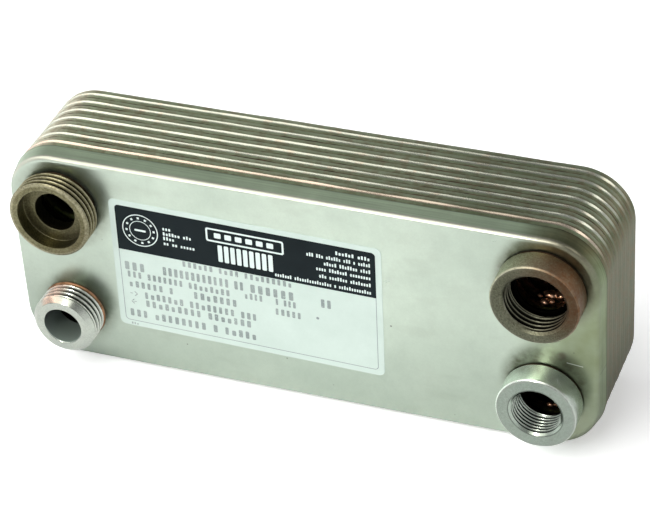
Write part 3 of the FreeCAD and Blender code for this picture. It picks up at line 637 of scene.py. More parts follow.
MATERIALS = {
    "cover": cover_material("cover_steel", front=True),
    "rear": cover_material("cover_steel_rear", front=False),
    "plate": plate_material(),
    # its dark colour also paints the shade at the root of each step
    "seam": copper_material(
        "copper_braze", dark=(0.060, 0.048, 0.028), light=(0.27, 0.19, 0.115),
        roughness=(0.36, 0.54), light_over=(0.40, 0.80)),
    "seam_rear": copper_material(
        "copper_braze_rear", dark=(0.34, 0.20, 0.13), light=(0.72, 0.50, 0.38),
        roughness=(0.30, 0.46)),
    "ring_bright": copper_material(
        "copper_braze_bright", dark=(0.11, 0.056, 0.026), light=(0.43, 0.24, 0.14),
        roughness=(0.30, 0.44)),
    # near-black braze ring: painted shade of the gap round three fittings
    "ring_painted_shade": copper_material(
        "copper_braze_painted_shade", dark=(0.014, 0.011, 0.008), light=(0.060, 0.036, 0.020),
        roughness=(0.40, 0.60)),
    "beads": copper_material(
        "copper_braze_beads", dark=(0.70, 0.34, 0.19), light=(0.96, 0.62, 0.44),
        roughness=(0.26, 0.40)),
    "heating_inlet": fitting_material(
        "tinted_steel", "heating_inlet",
        base=(0.140, 0.130, 0.068), light=(0.240, 0.226, 0.132), brown=(0.075, 0.058, 0.030),
        crest=(0.60, 0.57, 0.40), roughness=(0.30, 0.44), root_dark=0.06, valley=(0.08, 0.75),
        lathe=0.24, mottle=0.50, worn=0.50, inside=(10.45, 1.12),
        # painted shade on the lower right of the fitting
        brown_patch=dict(centre=(-64.0, 8.0), full=5.0, none=20.0, amount=0.55, on_rim=True)),
    "heating_outlet": fitting_material(
        "tinted_steel_outlet", "heating_outlet",
        base=(0.295, 0.305, 0.205), light=(0.40, 0.41, 0.285), brown=(0.25, 0.110, 0.047),
        crest=(0.72, 0.71, 0.56), roughness=(0.38, 0.50), root_dark=0.02, valley=(0.0, 0.34),
        lathe=0.20, mottle=0.50, worn=0.45, rim_gain=0.335, inside=(10.3, 0.42),
        brown_patch=dict(centre=(89.0, 26.0), full=6.0, none=22.0, amount=1.0, on_rim=True),
        matt_side=dict(radius=10.9, metallic=1.0, shade=0.58, shade_over=(8.0, 13.5))),
    "domestic_inlet": fitting_material(
        "bright_steel", "domestic_inlet",
        base=(0.43, 0.47, 0.42), light=(0.54, 0.58, 0.51), brown=(0.95, 0.66, 0.52),
        crest=(0.90, 0.89, 0.82), roughness=(0.15, 0.25), root_dark=0.09, valley=(0.05, 0.8),
        lathe=0.06, rim_gain=1.0, bore=(6.30, (0.42, 0.50, 0.46)),
        # painted pink highlight on the upper left of the nose chamfer
        brown_patch=dict(centre=(-80.2, -11.8), full=1.5, none=4.6, amount=0.85,
                         on_rim=False)),
    "domestic_outlet": fitting_material(
        "bright_steel_outlet", "domestic_outlet",
        base=(0.73, 0.87, 0.75), light=(0.83, 0.96, 0.83), brown=(0.66, 0.69, 0.62),
        crest=(0.86, 0.89, 0.83), roughness=(0.18, 0.28), root_dark=0.07, valley=(0.0, 0.6),
        lathe=0.06, rim_gain=0.39, inside=(8.6, 0.56),
        matt_side=dict(radius=9.6, metallic=0.84, shade=0.64, shade_over=(0.0, 9.0))),
    "film": film_material("label_film", base=(0.53, 0.635, 0.575),
                          variation=(0.575, 0.68, 0.62), roughness=0.36),
    "ink": film_material("label_ink_black", base=(0.0035, 0.008, 0.010),
                         variation=(0.006, 0.012, 0.014), roughness=0.38, specular=0.12,
                         coat=0.0, worn=((0.62, 0.85), (0.015, 0.022, 0.024))),
    "print": film_material("label_print_white", base=(0.72, 0.82, 0.78),
                           variation=(0.62, 0.72, 0.69), roughness=0.40),
    "grey": film_material("label_print_grey", base=(0.20, 0.24, 0.235),
                          variation=(0.34, 0.39, 0.37), roughness=0.45, specular=0.3,
                          worn=((0.56, 0.74), (0.60, 0.70, 0.65))),
    "line": film_material("label_print_line", base=(0.20, 0.24, 0.25),
                          variation=(0.26, 0.31, 0.31), roughness=0.45, specular=0.3),
}

# --------------------------------------------------------------- front cover
BEND_CENTRE = (cover_radius(0.0)
               + (BEND_RADIUS * (FLARE / SLANT) - BEND_RADIUS) / (1 / SLANT))
BEND_END = math.degrees(math.atan2(-FLARE / SLANT, 1 / SLANT))
FLAT_RADIUS = BEND_CENTRE - 1.2     # where the swept rim meets the flat face
OUTER_ROUNDING, INNER_ROUNDING = 0.09, 0.10     # of the skirt's free edge
HOLE_POINTS = 72


def bend_arc(radius, start, end, count):
    """Arc about the bend's centre as (radius, depth), angles in degrees."""
    points = []
    for k in range(count + 1):
        t = math.radians(start + (end - start) * k / count)
        points.append((BEND_CENTRE + radius * math.cos(t), BEND_RADIUS + radius * math.sin(t)))
    return points


def cover_profile(x, z):
    """From the face round the bend, down the skirt, round its edge and back inside."""
    out = 0.05 * wobble(x, 0, z, scale=0.045, seed=1) + 0.02 * wobble(x, 0, z, scale=0.3, seed=2)
    down = 0.06 * wobble(x, 0, z, scale=0.05, seed=3) + 0.02 * wobble(x, 0, z, scale=0.5, seed=4)
    wall = COVER_SHEET * SLANT
    points = [(FLAT_RADIUS, 0.0), (BEND_CENTRE - 0.25, 0.0)]
    points += bend_arc(BEND_RADIUS, -90.0, BEND_END, 12)
    top = BEND_RADIUS + BEND_RADIUS * math.sin(math.radians(BEND_END))
    for t in (0.25, 0.5, 0.75, 0.975):
        depth = top + (COVER_DEPTH - OUTER_ROUNDING - top) * t
        points.append((cover_radius(depth) + out * t * t, depth))
    edge = cover_radius(COVER_DEPTH)
    for t in (0.0, 0.3, 0.6, 1.0):
        a = t * math.pi / 2
        points.append((edge - OUTER_ROUNDING * (1 - math.cos(a)) + out,
                       COVER_DEPTH - OUTER_ROUNDING * (1 - math.sin(a)) + down))
    for t in (0.0, 0.5, 1.0):
        a = t * math.pi / 2
        points.append((edge - wall + INNER_ROUNDING * (1 - math.sin(a)) + out,
                       COVER_DEPTH - INNER_ROUNDING * (1 - math.cos(a)) + down))
    for t in (0.7, 0.35):
        depth = BEND_RADIUS + (COVER_DEPTH - BEND_RADIUS) * t
        points.append((cover_radius(depth) - wall + out * t * t, depth))
    points += bend_arc(BEND_RADIUS - COVER_SHEET, BEND_END, -90.0, 5)
    points.append((FLAT_RADIUS, COVER_SHEET))
    return points


def in_port(x, z, margin=0.0):
    return any(math.hypot(x - px, z - pz) < SPIGOT[port] + margin
               for port, (px, pz) in PORTS.items())


def fill_flat(verts, faces, rim, y, flipped):
    """Fill inside the rim's vertices at one y round the port holes; returns the hole loops."""
    flat = [Vector((verts[i][0], verts[i][2])) for i in rim]
    numbers = list(rim)
    edges = [(k, (k + 1) % len(rim)) for k in range(len(rim))]

    def add(x, z):
        flat.append(Vector((x, z)))
        verts.append((x, y, z))
        numbers.append(len(verts) - 1)

    holes = []
    for port, (px, pz) in PORTS.items():
        first = len(flat)
        radius = SPIGOT[port] + 0.02
        for k in range(HOLE_POINTS):
            t = 2 * math.pi * k / HOLE_POINTS
            add(px + radius * math.cos(t), pz + radius * math.sin(t))
        holes.append(numbers[first:])
        edges += [(first + k, first + (k + 1) % HOLE_POINTS) for k in range(HOLE_POINTS)]
    # a light grid keeps the triangles even
    for x in range(-84, 85, 12):
        for z in range(-26, 27, 13):
            if not in_port(x, z, margin=3):
                add(x + 0.3, z + 0.1)
    points, _, triangles, sources, _, _ = delaunay_2d_cdt(flat, edges, [], 0, 1e-6)
    original = [numbers[source[0]] if source else None for source in sources]
    for triangle in triangles:
        x = sum(points[i].x for i in triangle) / len(triangle)
        z = sum(points[i].y for i in triangle) / len(triangle)
        beyond = math.hypot(max(abs(x) - CORNER_X, 0), max(abs(z) - CORNER_Z, 0))
        if in_port(x, z) or beyond > FLAT_RADIUS + 0.05:
            continue
        face = [original[i] for i in triangle]
        if None not in face:
            faces.append(tuple(face[::-1] if flipped else face))
    return holes


def build_cover():
    stations = perimeter(step=1.6, corner_steps=24)
    verts, faces = sweep(stations, cover_profile, closed=False)
    swept = len(verts)
    count = swept // len(stations)
    front_holes = fill_flat(verts, faces, range(0, swept, count), FRONT, flipped=False)
    back_holes = fill_flat(verts, faces, range(count - 1, swept, count),
                           FRONT + COVER_SHEET, flipped=True)
    for front, back in zip(front_holes, back_holes):
        for k in range(HOLE_POINTS):
            after = (k + 1) % HOLE_POINTS
            faces.append((front[k], front[after], back[after], back[k]))
    make_object("front_cover_shell", verts, faces, MATERIALS["cover"], "cover_steel",
                "front_cover", sharp=30.0)


build_cover()


# -------------------------------------------------------------------- plates
def cut_plate(i):
    """Copy of a packed plate, its skirt cut into short lengths and its free edge broken."""
    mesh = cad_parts["plate_%02d" % i].data.copy()
    bm = bmesh.new()
    bm.from_mesh(mesh)
    bmesh.ops.remove_doubles(bm, verts=bm.verts, dist=2e-6)
    y_back = (FRONT + plate_back(i)) * MM
    y_free = (FRONT + plate_edge(i)) * MM

    def cut_skirt(point, normal):
        faces = [f for f in bm.faces if max(v.co.y for v in f.verts) > y_back + 0.5 * MM]
        edges = {e for f in faces for e in f.edges}
        verts = {v for f in faces for v in f.verts}
        bmesh.ops.bisect_plane(bm, geom=list(verts) + list(edges) + faces, dist=1e-6,
                               plane_co=point, plane_no=normal)

    for k in range(-19, 20):
        cut_skirt((k * 4.0 * MM, 0, 0), (1, 0, 0))
    for k in range(-5, 6):
        cut_skirt((0, 0, k * 4.0 * MM), (0, 0, 1))
    for before_edge in (1.0, 0.82, 0.62, 0.42, 0.24):
        cut_skirt((0, y_free - before_edge * MM, 0), (0, 1, 0))
    rim = [e for e in bm.edges
           if all(abs(v.co.y - y_free) < 1e-5 for v in e.verts)
           and len(e.link_faces) == 2 and any(f.normal.y < 0.5 for f in e.link_faces)]
    bmesh.ops.bevel(bm, geom=rim, offset=0.10 * MM, segments=2, profile=0.5, affect="EDGES",
                    clamp_overlap=True)
    bm.to_mesh(mesh)
    bm.free()
    return mesh


# plates 1 and 2, cut once, serve all odd and all even plates
MASTERS = {1: cut_plate(1), 0: cut_plate(2)}
# (odd, even) plates: length of the turned-out lip at the free edge, and its reach
LIP_RUN = {1: 0.90, 0: 0.6}
LIP_REACH = {1: 0.315, 0: 0.06}


def build_plate(i):
    odd = i % 2
    mesh = MASTERS[odd].copy()
    mesh.name = "channel_plate_%02d" % i
    count = len(mesh.vertices)
    places = np.zeros(count * 3, np.float32)
    mesh.vertices.foreach_get("co", places)
    places = places.reshape(-1, 3).astype(float) / MM
    places[:, 1] += (i - (1 if odd else 2)) * PITCH
    y_back = FRONT + plate_back(i)
    y_free = FRONT + plate_edge(i)
    flat_y = places[:, 1].copy()
    reach = LIP_REACH[odd] * (0.97 + 0.06 * math.sin(i * 2.1))
    for j in range(count):
        x, y, z = places[j]
        t = (y - y_back) / (y_free - y_back)
        if t <= 0.03:
            continue
        nx = x - max(-CORNER_X, min(CORNER_X, x))
        nz = z - max(-CORNER_Z, min(CORNER_Z, z))
        length = math.hypot(nx, nz) or 1.0
        nx, nz = nx / length, nz / length
        out = t * t * (0.085 * wobble(x, 0, z, scale=0.06, seed=i)
                       + 0.035 * wobble(x, 0, z, scale=0.35, seed=i + 20))
        lip = max(0.0, 1.0 - (y_free - y) / LIP_RUN[odd]) ** 1.5
        # the lip fades out on the side facing +x
        out += (reach * lip * (0.97 + 0.24 * wobble(x, 0, z, scale=0.12, seed=i + 120))
                * (1.0 - 0.92 * max(0.0, nx) ** 2))
        down = t * t * (0.11 * wobble(x, 0, z, scale=0.05, seed=i + 40)
                        + 0.04 * wobble(x, 0, z, scale=0.4, seed=i + 60))
        places[j] = (x + nx * out, y + down, z + nz * out)
    mesh.vertices.foreach_set("co", (places * MM).astype(np.float32).ravel())
    add_attributes(mesh, {"fromedge": y_free - flat_y,
                          "fromroot": flat_y - FRONT - plate_edge(i - 1),
                          "pid": np.full(count, float(i))})
    mesh.materials.clear()
    mesh.materials.append(MATERIALS["plate"])
    mesh.polygons.foreach_set("material_index", np.zeros(len(mesh.polygons), np.int32))
    shade(mesh, 28)
    mesh.update()
    place(mesh.name, mesh, "plate_steel", "plate_%02d" % i)


for i in PLATES:
    build_plate(i)


# -------------------------------------------------------------- braze seams
def build_seam(i):
    """Copper fillet at the root of the step behind free edge i-1, on plate i's skirt."""
    root = plate_edge(i - 1)

    def profile(x, z):
        fill = (0.5 + 0.5 * wobble(x, 0, z, scale=0.10, seed=i + 80)
                + 0.35 * wobble(x, 0, z, scale=0.45, seed=i + 90))
        fill = min(max(fill, 0.0), 1.0)
        thick = 0.12 + 0.17 * fill
        length = 0.30 + 0.85 * fill
        if i == 1:
            thick *= 1.25
        buried = -0.03
        # distance from the root, rise off the skirt
        points = ((-0.12, buried), (-0.12, 0.02), (0.015, thick),
                  (length * 0.22, thick * 0.66), (length * 0.5, thick * 0.34),
                  (length * 0.8, thick * 0.10), (length, -0.005), (length, buried - 0.02))
        return [(plate_radius(i, root + along) + rise, root + along)
                for along, rise in points]

    verts, faces = sweep(perimeter(step=1.3, corner_steps=22), profile)
    make_object("braze_fillet_%02d" % i, verts, faces, MATERIALS["seam"], "copper_braze",
                "braze_seam_%02d" % i, sharp=60)


for i in PLATES:
    build_seam(i)


# --------------------------------------------------------- packed rear pieces
def dress(node, material):
    for slot in node.material_slots:
        slot.link = "OBJECT"
        slot.material = material


def break_edges(node, width):
    weld = node.modifiers.new("weld", "WELD")
    weld.merge_threshold = 2e-6
    bevel = node.modifiers.new("edge", "BEVEL")
    bevel.width = width * MM
    bevel.segments = 3
    bevel.limit_method = "ANGLE"
    bevel.angle_limit = math.radians(25)
    bevel.harden_normals = True


dress(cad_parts["rear_cover"], MATERIALS["rear"])
break_edges(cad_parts["rear_cover"], width=0.12)
dress(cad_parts["braze_seam_rear"], MATERIALS["seam_rear"])

# ------------------------------------------------------------------ fittings
# Profiles are closed lists of (radius, height, surface). The surface is one of thread,
# plain, neck, edge (outer corner of the rim), face (end of the rim) and bore.
TURNS = 192                 # profiles round each fitting
SPIGOT_END = -COVER_SHEET   # height of the end flush with the back of the cover's sheet
THREAD_RADIUS = 10.478      # crest of the male thread on the domestic inlet
THREAD_DEPTH = 1.162
THREAD_PITCH = 1.814
BORE_THREAD = THREAD_RADIUS - THREAD_DEPTH      # crest of the heating outlet's thread
SMALL_BORE_THREAD = 7.475                       # crest of the domestic outlet's thread


def run(surface, *points):
    return [(r, height, surface) for r, height in points]


def curve(surface, before, corner, after, radius, steps):
    """Quadratic curve that rounds a corner between two neighbouring points."""
    a, b = np.array(before) - corner, np.array(after) - corner
    length_a, length_b = np.linalg.norm(a), np.linalg.norm(b)
    a, b = a / length_a, b / length_b
    angle = math.acos(float(np.clip(a @ b, -1, 1)))
    cut = min(radius / math.tan(angle / 2), 0.45 * length_a, 0.45 * length_b)
    start, end = corner + a * cut, corner + b * cut
    points = []
    for k in range(steps + 1):
        t = k / steps
        q = (1 - t) ** 2 * start + 2 * t * (1 - t) * np.array(corner) + t ** 2 * end
        points.append((float(q[0]), float(q[1]), surface))
    return points


def thread_run(radius, start, step, count):
    return [(radius, start + step * k, "thread") for k in range(count)]


def tooth(turn):
    """0 on the crest, 1 in the root; turn in pitches."""
    t = 1 - abs(2 * (turn - math.floor(turn)) - 1)
    straight = min(max(t * 1.18 - 0.09, 0.0), 1.0)
    return 0.62 * straight + 0.38 * (0.5 - 0.5 * math.cos(math.pi * t))


def ease(x):
    x = min(max(x, 0.0), 1.0)
    return x * x * (3 - 2 * x)


def groove(thread, theta, height):
    """Depth of a thread's groove, 0 to 1; it fades in and out at its ends."""
    start, end = thread["between"]
    fade_in, fade_out = thread["fades"]
    turn = ((height - thread["crest_at"]) / thread["pitch"]
            + thread["side"] * (theta - math.radians(thread["angle"])) / (2 * math.pi))
    return (tooth(turn) * ease((height - start) / fade_in)
            * ease((end - height) / fade_out))


def build_fitting(name, port, slot, profile, thread, levels=None, uneven=None):
    """Turn a fitting; levels: crest attribute by surface, uneven: waviness of the rim.

    thread["side"] is -1 for a male thread and 1 for a female one.
    """
    cx, cz = PORTS[port]
    levels = {"neck": 0.0, "plain": 0.75, **(levels or {})}
    verts, crest, valley = [], [], []
    for k in range(TURNS):
        theta = 2 * math.pi * k / TURNS
        c, s = math.cos(theta), math.sin(theta)
        for r, height, surface in profile:
            if surface == "thread":
                depth = groove(thread, theta, height)
                r += thread["side"] * thread["depth"] * depth
                level = 1.0 - depth
            else:
                level = levels[surface]
            if surface in ("face", "edge"):
                wave = uneven["amount"] * wobble(c * 3, height, s * 3, 1.0, uneven["seed"])
                r += wave
                height += wave * uneven["lift"]
            verts.append((cx + r * c, FRONT - height, cz + r * s))
            crest.append(level)
            # the neck, in the gap against the face, gets the full painted shade of a thread root
            valley.append(1.0 - level if surface in ("thread", "bore")
                          else float(surface == "neck"))
    make_object(name, verts, grid_faces(TURNS, len(profile)), MATERIALS[port], slot,
                port + "_fitting", attributes={"crest": crest, "valley": valley})


def build_heating_inlet():
    """Upper left: male thread, counterbored."""
    port = "heating_inlet"
    spigot, neck, rim = SPIGOT[port], NECK[port], RIM[port]
    crest, counterbore, floor, bore = 13.22, 10.5, 3.72, 6.62
    profile = (
        run("plain", (spigot, SPIGOT_END), (spigot, 0.0))
        + run("neck", (neck, 0.0), (neck, 0.5), (neck, 1.0))
        + curve("neck", (neck, 1.0), (11.95, 1.15), (12.9, 1.45), 0.1, 2)
        + run("plain", *((12.6 + (crest - 12.6) * k / 3, 1.35 + 0.30 * k / 3) for k in (1, 2)))
        + thread_run(crest, start=1.65, step=0.105, count=58)
        + curve("edge", (crest, 7.65), (13.20, 7.78), (12.64, rim), 0.12, 2)
        + curve("edge", (13.20, 7.78), (12.55, rim), (counterbore, rim), 0.26, 4)
        + run("face", (11.9, rim), (11.2, rim))
        + curve("face", (11.2, rim), (counterbore, rim), (counterbore, 4.0), 0.22, 4)
        + run("bore", (counterbore, 7.0), (counterbore, 5.6), (counterbore, 4.4))
        + curve("bore", (counterbore, 4.4), (counterbore, floor), (8.0, floor), 0.25, 3)
        + run("bore", (9.5, floor), (8.4, floor), (7.3, floor))
        + curve("bore", (7.3, floor), (bore, floor), (bore, 2.0), 0.25, 4)
        + run("bore", (bore, 2.4), (bore, 1.2), (bore, SPIGOT_END)))
    thread = dict(side=-1, depth=1.16, pitch=THREAD_PITCH, crest_at=2.05,
                  between=(1.15, 8.2), fades=(0.8, 0.35), angle=60)
    build_fitting("inlet_fitting_heating", port, "tinted_steel", profile, thread,
                  levels={"edge": 0.97, "face": 0.72, "bore": 0.62},
                  uneven=dict(amount=0.03, lift=0.6, seed=5))


def build_domestic_inlet():
    """Lower left: male thread, chamfered nose."""
    port = "domestic_inlet"
    spigot, neck, rim = SPIGOT[port], NECK[port], RIM[port]
    crest, nose, bore = THREAD_RADIUS, 8.82, 6.18
    profile = (
        run("plain", (spigot, SPIGOT_END), (spigot, 0.0), (neck, 0.0), (neck, 0.45),
            (9.3, 0.66), (9.8, 0.95))
        + thread_run(crest, start=1.12, step=0.105, count=61)
        + curve("plain", (crest, 7.42), (crest, 7.62), (nose, rim), 0.16, 3)
        + run("plain", (9.9, 8.20), (9.35, 8.75))
        + curve("plain", (9.35, 8.75), (nose, rim), (7.0, rim), 0.16, 4)
        + run("plain", (8.1, rim), (7.3, rim))
        + curve("plain", (7.3, rim), (6.50, rim), (bore, 8.95), 0.12, 3)
        + curve("plain", (6.5, rim), (bore, 8.93), (bore, 5.0), 0.15, 3)
        + run("plain", *((bore, height) for height in (7.6, 5.8, 3.6, 1.4, SPIGOT_END))))
    thread = dict(side=-1, depth=THREAD_DEPTH, pitch=THREAD_PITCH, crest_at=1.35,
                  between=(0.75, 7.75), fades=(0.5, 0.25), angle=60)
    build_fitting("inlet_fitting_domestic", port, "bright_steel", profile, thread)


def build_heating_outlet():
    """Upper right: female thread over a shoulder."""
    port = "heating_outlet"
    spigot, neck, rim = SPIGOT[port], NECK[port], RIM[port]
    wall, shoulder, bore = 13.52, 0.20, 7.90
    profile = (
        run("neck", (spigot, SPIGOT_END), (spigot, 0.0), (neck, 0.0), (neck, 0.42),
            (13.15, 0.60))
        + run("plain", (13.42, 0.72), *((wall, height)
                                        for height in (0.86, 1.6, 3.0, 4.4, 5.8, 7.0)))
        + curve("edge", (wall, 7.0), (wall, 8.09), (13.07, rim), 0.12, 3)
        + curve("edge", (wall, 8.09), (13.07, rim), (11.5, rim), 0.20, 3)
        + run("face", (12.4, rim), (11.5, rim))
        + curve("face", (11.5, rim), (THREAD_RADIUS, rim), (BORE_THREAD, rim - THREAD_DEPTH),
                0.14, 3)
        + run("plain", (10.1, 8.16), (9.70, 7.76))
        + thread_run(BORE_THREAD, start=7.32, step=-0.105, count=61)
        + run("plain", (BORE_THREAD, 0.86))
        + run("bore", (9.50, 0.78), (9.90, 0.70), (9.90, 0.40), (9.78, 0.22),
              (9.5, shoulder), (8.6, shoulder))
        + curve("bore", (8.6, shoulder), (bore, shoulder), (bore, SPIGOT_END), 0.16, 3)
        + run("bore", (bore, -0.4), (bore, SPIGOT_END)))
    thread = dict(side=1, depth=THREAD_DEPTH, pitch=THREAD_PITCH, crest_at=7.0,
                  between=(0.85, 8.3), fades=(0.7, 0.5), angle=-90)
    build_fitting("outlet_fitting_heating", port, "tinted_steel", profile, thread,
                  levels={"edge": 0.97, "face": 0.70, "bore": 0.50},
                  uneven=dict(amount=0.03, lift=0.5, seed=9))


def build_domestic_outlet():
    """Lower right: female thread right through."""
    port = "domestic_outlet"
    spigot, neck, rim = SPIGOT[port], NECK[port], RIM[port]
    wall, bore = 12.46, SMALL_BORE_THREAD
    profile = (
        run("neck", (spigot, SPIGOT_END), (spigot, 0.0), (neck, 0.0), (neck, 0.36),
            (12.15, 0.50))
        + run("plain", (12.37, 0.60), *((wall, height)
                                        for height in (0.74, 1.6, 3.0, 4.4, 5.8, 6.9)))
        + curve("edge", (wall, 6.9), (wall, 7.93), (12.04, rim), 0.12, 3)
        + curve("edge", (wall, 7.93), (12.04, rim), (10.5, rim), 0.16, 3)
        + run("face", (11.2, rim), (10.0, rim), (9.2, rim))
        + curve("face", (9.2, rim), (8.45, rim), (bore, 7.375), 0.12, 3)
        + run("plain", (8.1, 8.0), (7.75, 7.65))
        + thread_run(bore, start=7.34, step=-0.0775, count=104)
        + run("plain", (bore, -0.76), (7.6, SPIGOT_END)))
    thread = dict(side=1, depth=0.856, pitch=1.337, crest_at=6.6,
                  between=(-0.75, 8.0), fades=(0.5, 0.5), angle=-90)
    build_fitting("outlet_fitting_domestic", port, "bright_steel", profile, thread,
                  levels={"edge": 1.0, "face": 0.7},
                  uneven=dict(amount=0.015, lift=0.5, seed=12))


build_heating_inlet()
build_domestic_inlet()
build_heating_outlet()
build_domestic_outlet()

# ------------------------------------------------------------ rings of braze
# section of the ring: share of its width, share of its height
RING_SECTION = ((0.0, 0.0), (1.0, 0.0), (0.97, 0.16), (0.84, 0.42), (0.60, 0.70),
                (0.30, 0.90), (0.0, 1.0))
RING_STATIONS = 160


def build_ring(port, width, height, material, seed, lumpy):
    """Fillet round a fitting where it meets the face."""
    cx, cz = PORTS[port]
    verts = []
    for k in range(RING_STATIONS):
        t = 2 * math.pi * k / RING_STATIONS
        c, s = math.cos(t), math.sin(t)
        swell = lumpy * (0.5 + 0.5 * wobble(c * 3, 0, s * 3, 1.0, seed))
        ripple = 0.12 * (0.5 + 0.5 * wobble(c * 12, 0, s * 12, 1.0, seed))
        wide = width * (1 - swell - ripple)
        high = height * (1 - lumpy * (0.5 + 0.5 * wobble(c * 3, 1, s * 3, 1.0, seed + 3)))
        for across, up in RING_SECTION:
            r = NECK[port] + 0.01 + across * wide
            verts.append((cx + r * c, FRONT - 0.005 - up * high, cz + r * s))
    make_object("braze_fillet_" + port, verts, grid_faces(RING_STATIONS, len(RING_SECTION)),
                MATERIALS[material], "copper_braze", "braze_ring_" + port, sharp=50)


# the near-black rings paint the shade in the gap round three fittings
build_ring("heating_inlet", width=0.45, height=0.38, material="ring_painted_shade", seed=3, lumpy=0.5)
build_ring("domestic_inlet", width=1.50, height=0.85, material="ring_bright", seed=5,
           lumpy=0.12)
build_ring("heating_outlet", width=0.45, height=0.38, material="ring_painted_shade", seed=7, lumpy=0.5)
build_ring("domestic_outlet", width=0.42, height=0.38, material="ring_painted_shade", seed=9, lumpy=0.5)

# beads inside a port: angle in degrees, depth, length, size
BEADS = {
    "heating_outlet": (
        (-101, 9.9, 2.2, 0.70), (-91, 9.4, 4.2, 1.35), (-80, 9.6, 3.4, 1.15),
        (-69, 8.7, 3.6, 1.25), (-60, 9.2, 2.6, 0.85), (-96, 5.6, 3.0, 0.95),
        (-84, 6.2, 2.0, 0.55), (-110, 7.6, 1.6, 0.45), (-76, 12.2, 3.0, 0.90)),
    "domestic_outlet": ((-92, 7.6, 2.2, 0.55), (-79, 7.9, 2.6, 0.55), (-70, 10.2, 1.8, 0.45)),
}


def build_beads(name, port):
    """Beads of copper that ran down on to the plate rims inside a port."""
    cx, cz = PORTS[port]
    verts, faces = [], []
    around, along = 14, 9
    for bead, (angle, depth, length, size) in enumerate(BEADS[port]):
        first = len(verts)
        for j in range(along + 1):
            ph = math.pi * j / along
            for k in range(around):
                th = 2 * math.pi * k / around
                across, back = math.sin(ph) * math.cos(th), math.sin(ph) * math.sin(th)
                swell = 1 + 0.30 * wobble(across * 1.4, math.cos(ph) * 1.6, back * 1.4,
                                          1.0, bead + 30)
                t = math.radians(angle) + length / 9.0 * math.cos(ph) * 0.5
                r = 8.98 + size * across * swell
                verts.append((cx + r * math.cos(t), FRONT + depth + 1.25 * size * back * swell,
                              cz + r * math.sin(t)))
        faces += grid_faces(along + 1, around, first, wrap_rows=False)
        # both ends close on single points
        for end in (first, first + along * around):
            verts[end:end + around] = [verts[end]] * around
    mesh = make_object(name, verts, faces, MATERIALS["beads"], "copper_braze", sharp=80).data
    bm = bmesh.new()
    bm.from_mesh(mesh)
    bmesh.ops.remove_doubles(bm, verts=bm.verts, dist=1e-7)
    bmesh.ops.dissolve_degenerate(bm, edges=bm.edges, dist=1e-7)
    bmesh.ops.recalc_face_normals(bm, faces=bm.faces)
    bm.to_mesh(mesh)
    bm.free()


build_beads("braze_beads_heating_outlet", "heating_outlet")
build_beads("braze_beads_domestic_outlet", "domestic_outlet")

# --------------------------------------------------------------------- label
LABEL_X, LABEL_Z = -16.6, 1.33      # centre
LABEL_TILT = math.radians(1.19)     # clockwise, seen from the front
LABEL_WIDTH, LABEL_HEIGHT = 88.0, 47.9
LEFT, RIGHT = LABEL_X - LABEL_WIDTH / 2, LABEL_X + LABEL_WIDTH / 2
BOTTOM, TOP = LABEL_Z - LABEL_HEIGHT / 2, LABEL_Z + LABEL_HEIGHT / 2
MARGIN = 1.94                       # from the label's edge to the print
FILM = 0.12                         # thickness
# heights that print lies between, on the film and on the header band
ON_FILM = (FILM - 0.004, FILM + 0.010)
ON_HEADER = (FILM + 0.008, FILM + 0.022)


def rounded_box(x0, z0, x1, z1, radius, steps, square=()):
    """Rounded rectangle outline; corners named in square stay sharp."""
    corners = (("top right", x1, z1, x1 - radius, z1 - radius),
               ("top left", x0, z1, x0 + radius, z1 - radius),
               ("bottom left", x0, z0, x0 + radius, z0 + radius),
               ("bottom right", x1, z0, x1 - radius, z0 + radius))
    points = []
    for quarter, (name, x, z, cx, cz) in enumerate(corners):
        if name in square:
            points.append((x, z))
            continue
        for k in range(steps + 1):
            t = math.radians(90 * quarter + 90 * k / steps)
            points.append((cx + radius * math.cos(t), cz + radius * math.sin(t)))
    return points


def circle(cx, cz, radius, count):
    return [(cx + radius * math.cos(2 * math.pi * k / count),
             cz + radius * math.sin(2 * math.pi * k / count)) for k in range(count)]


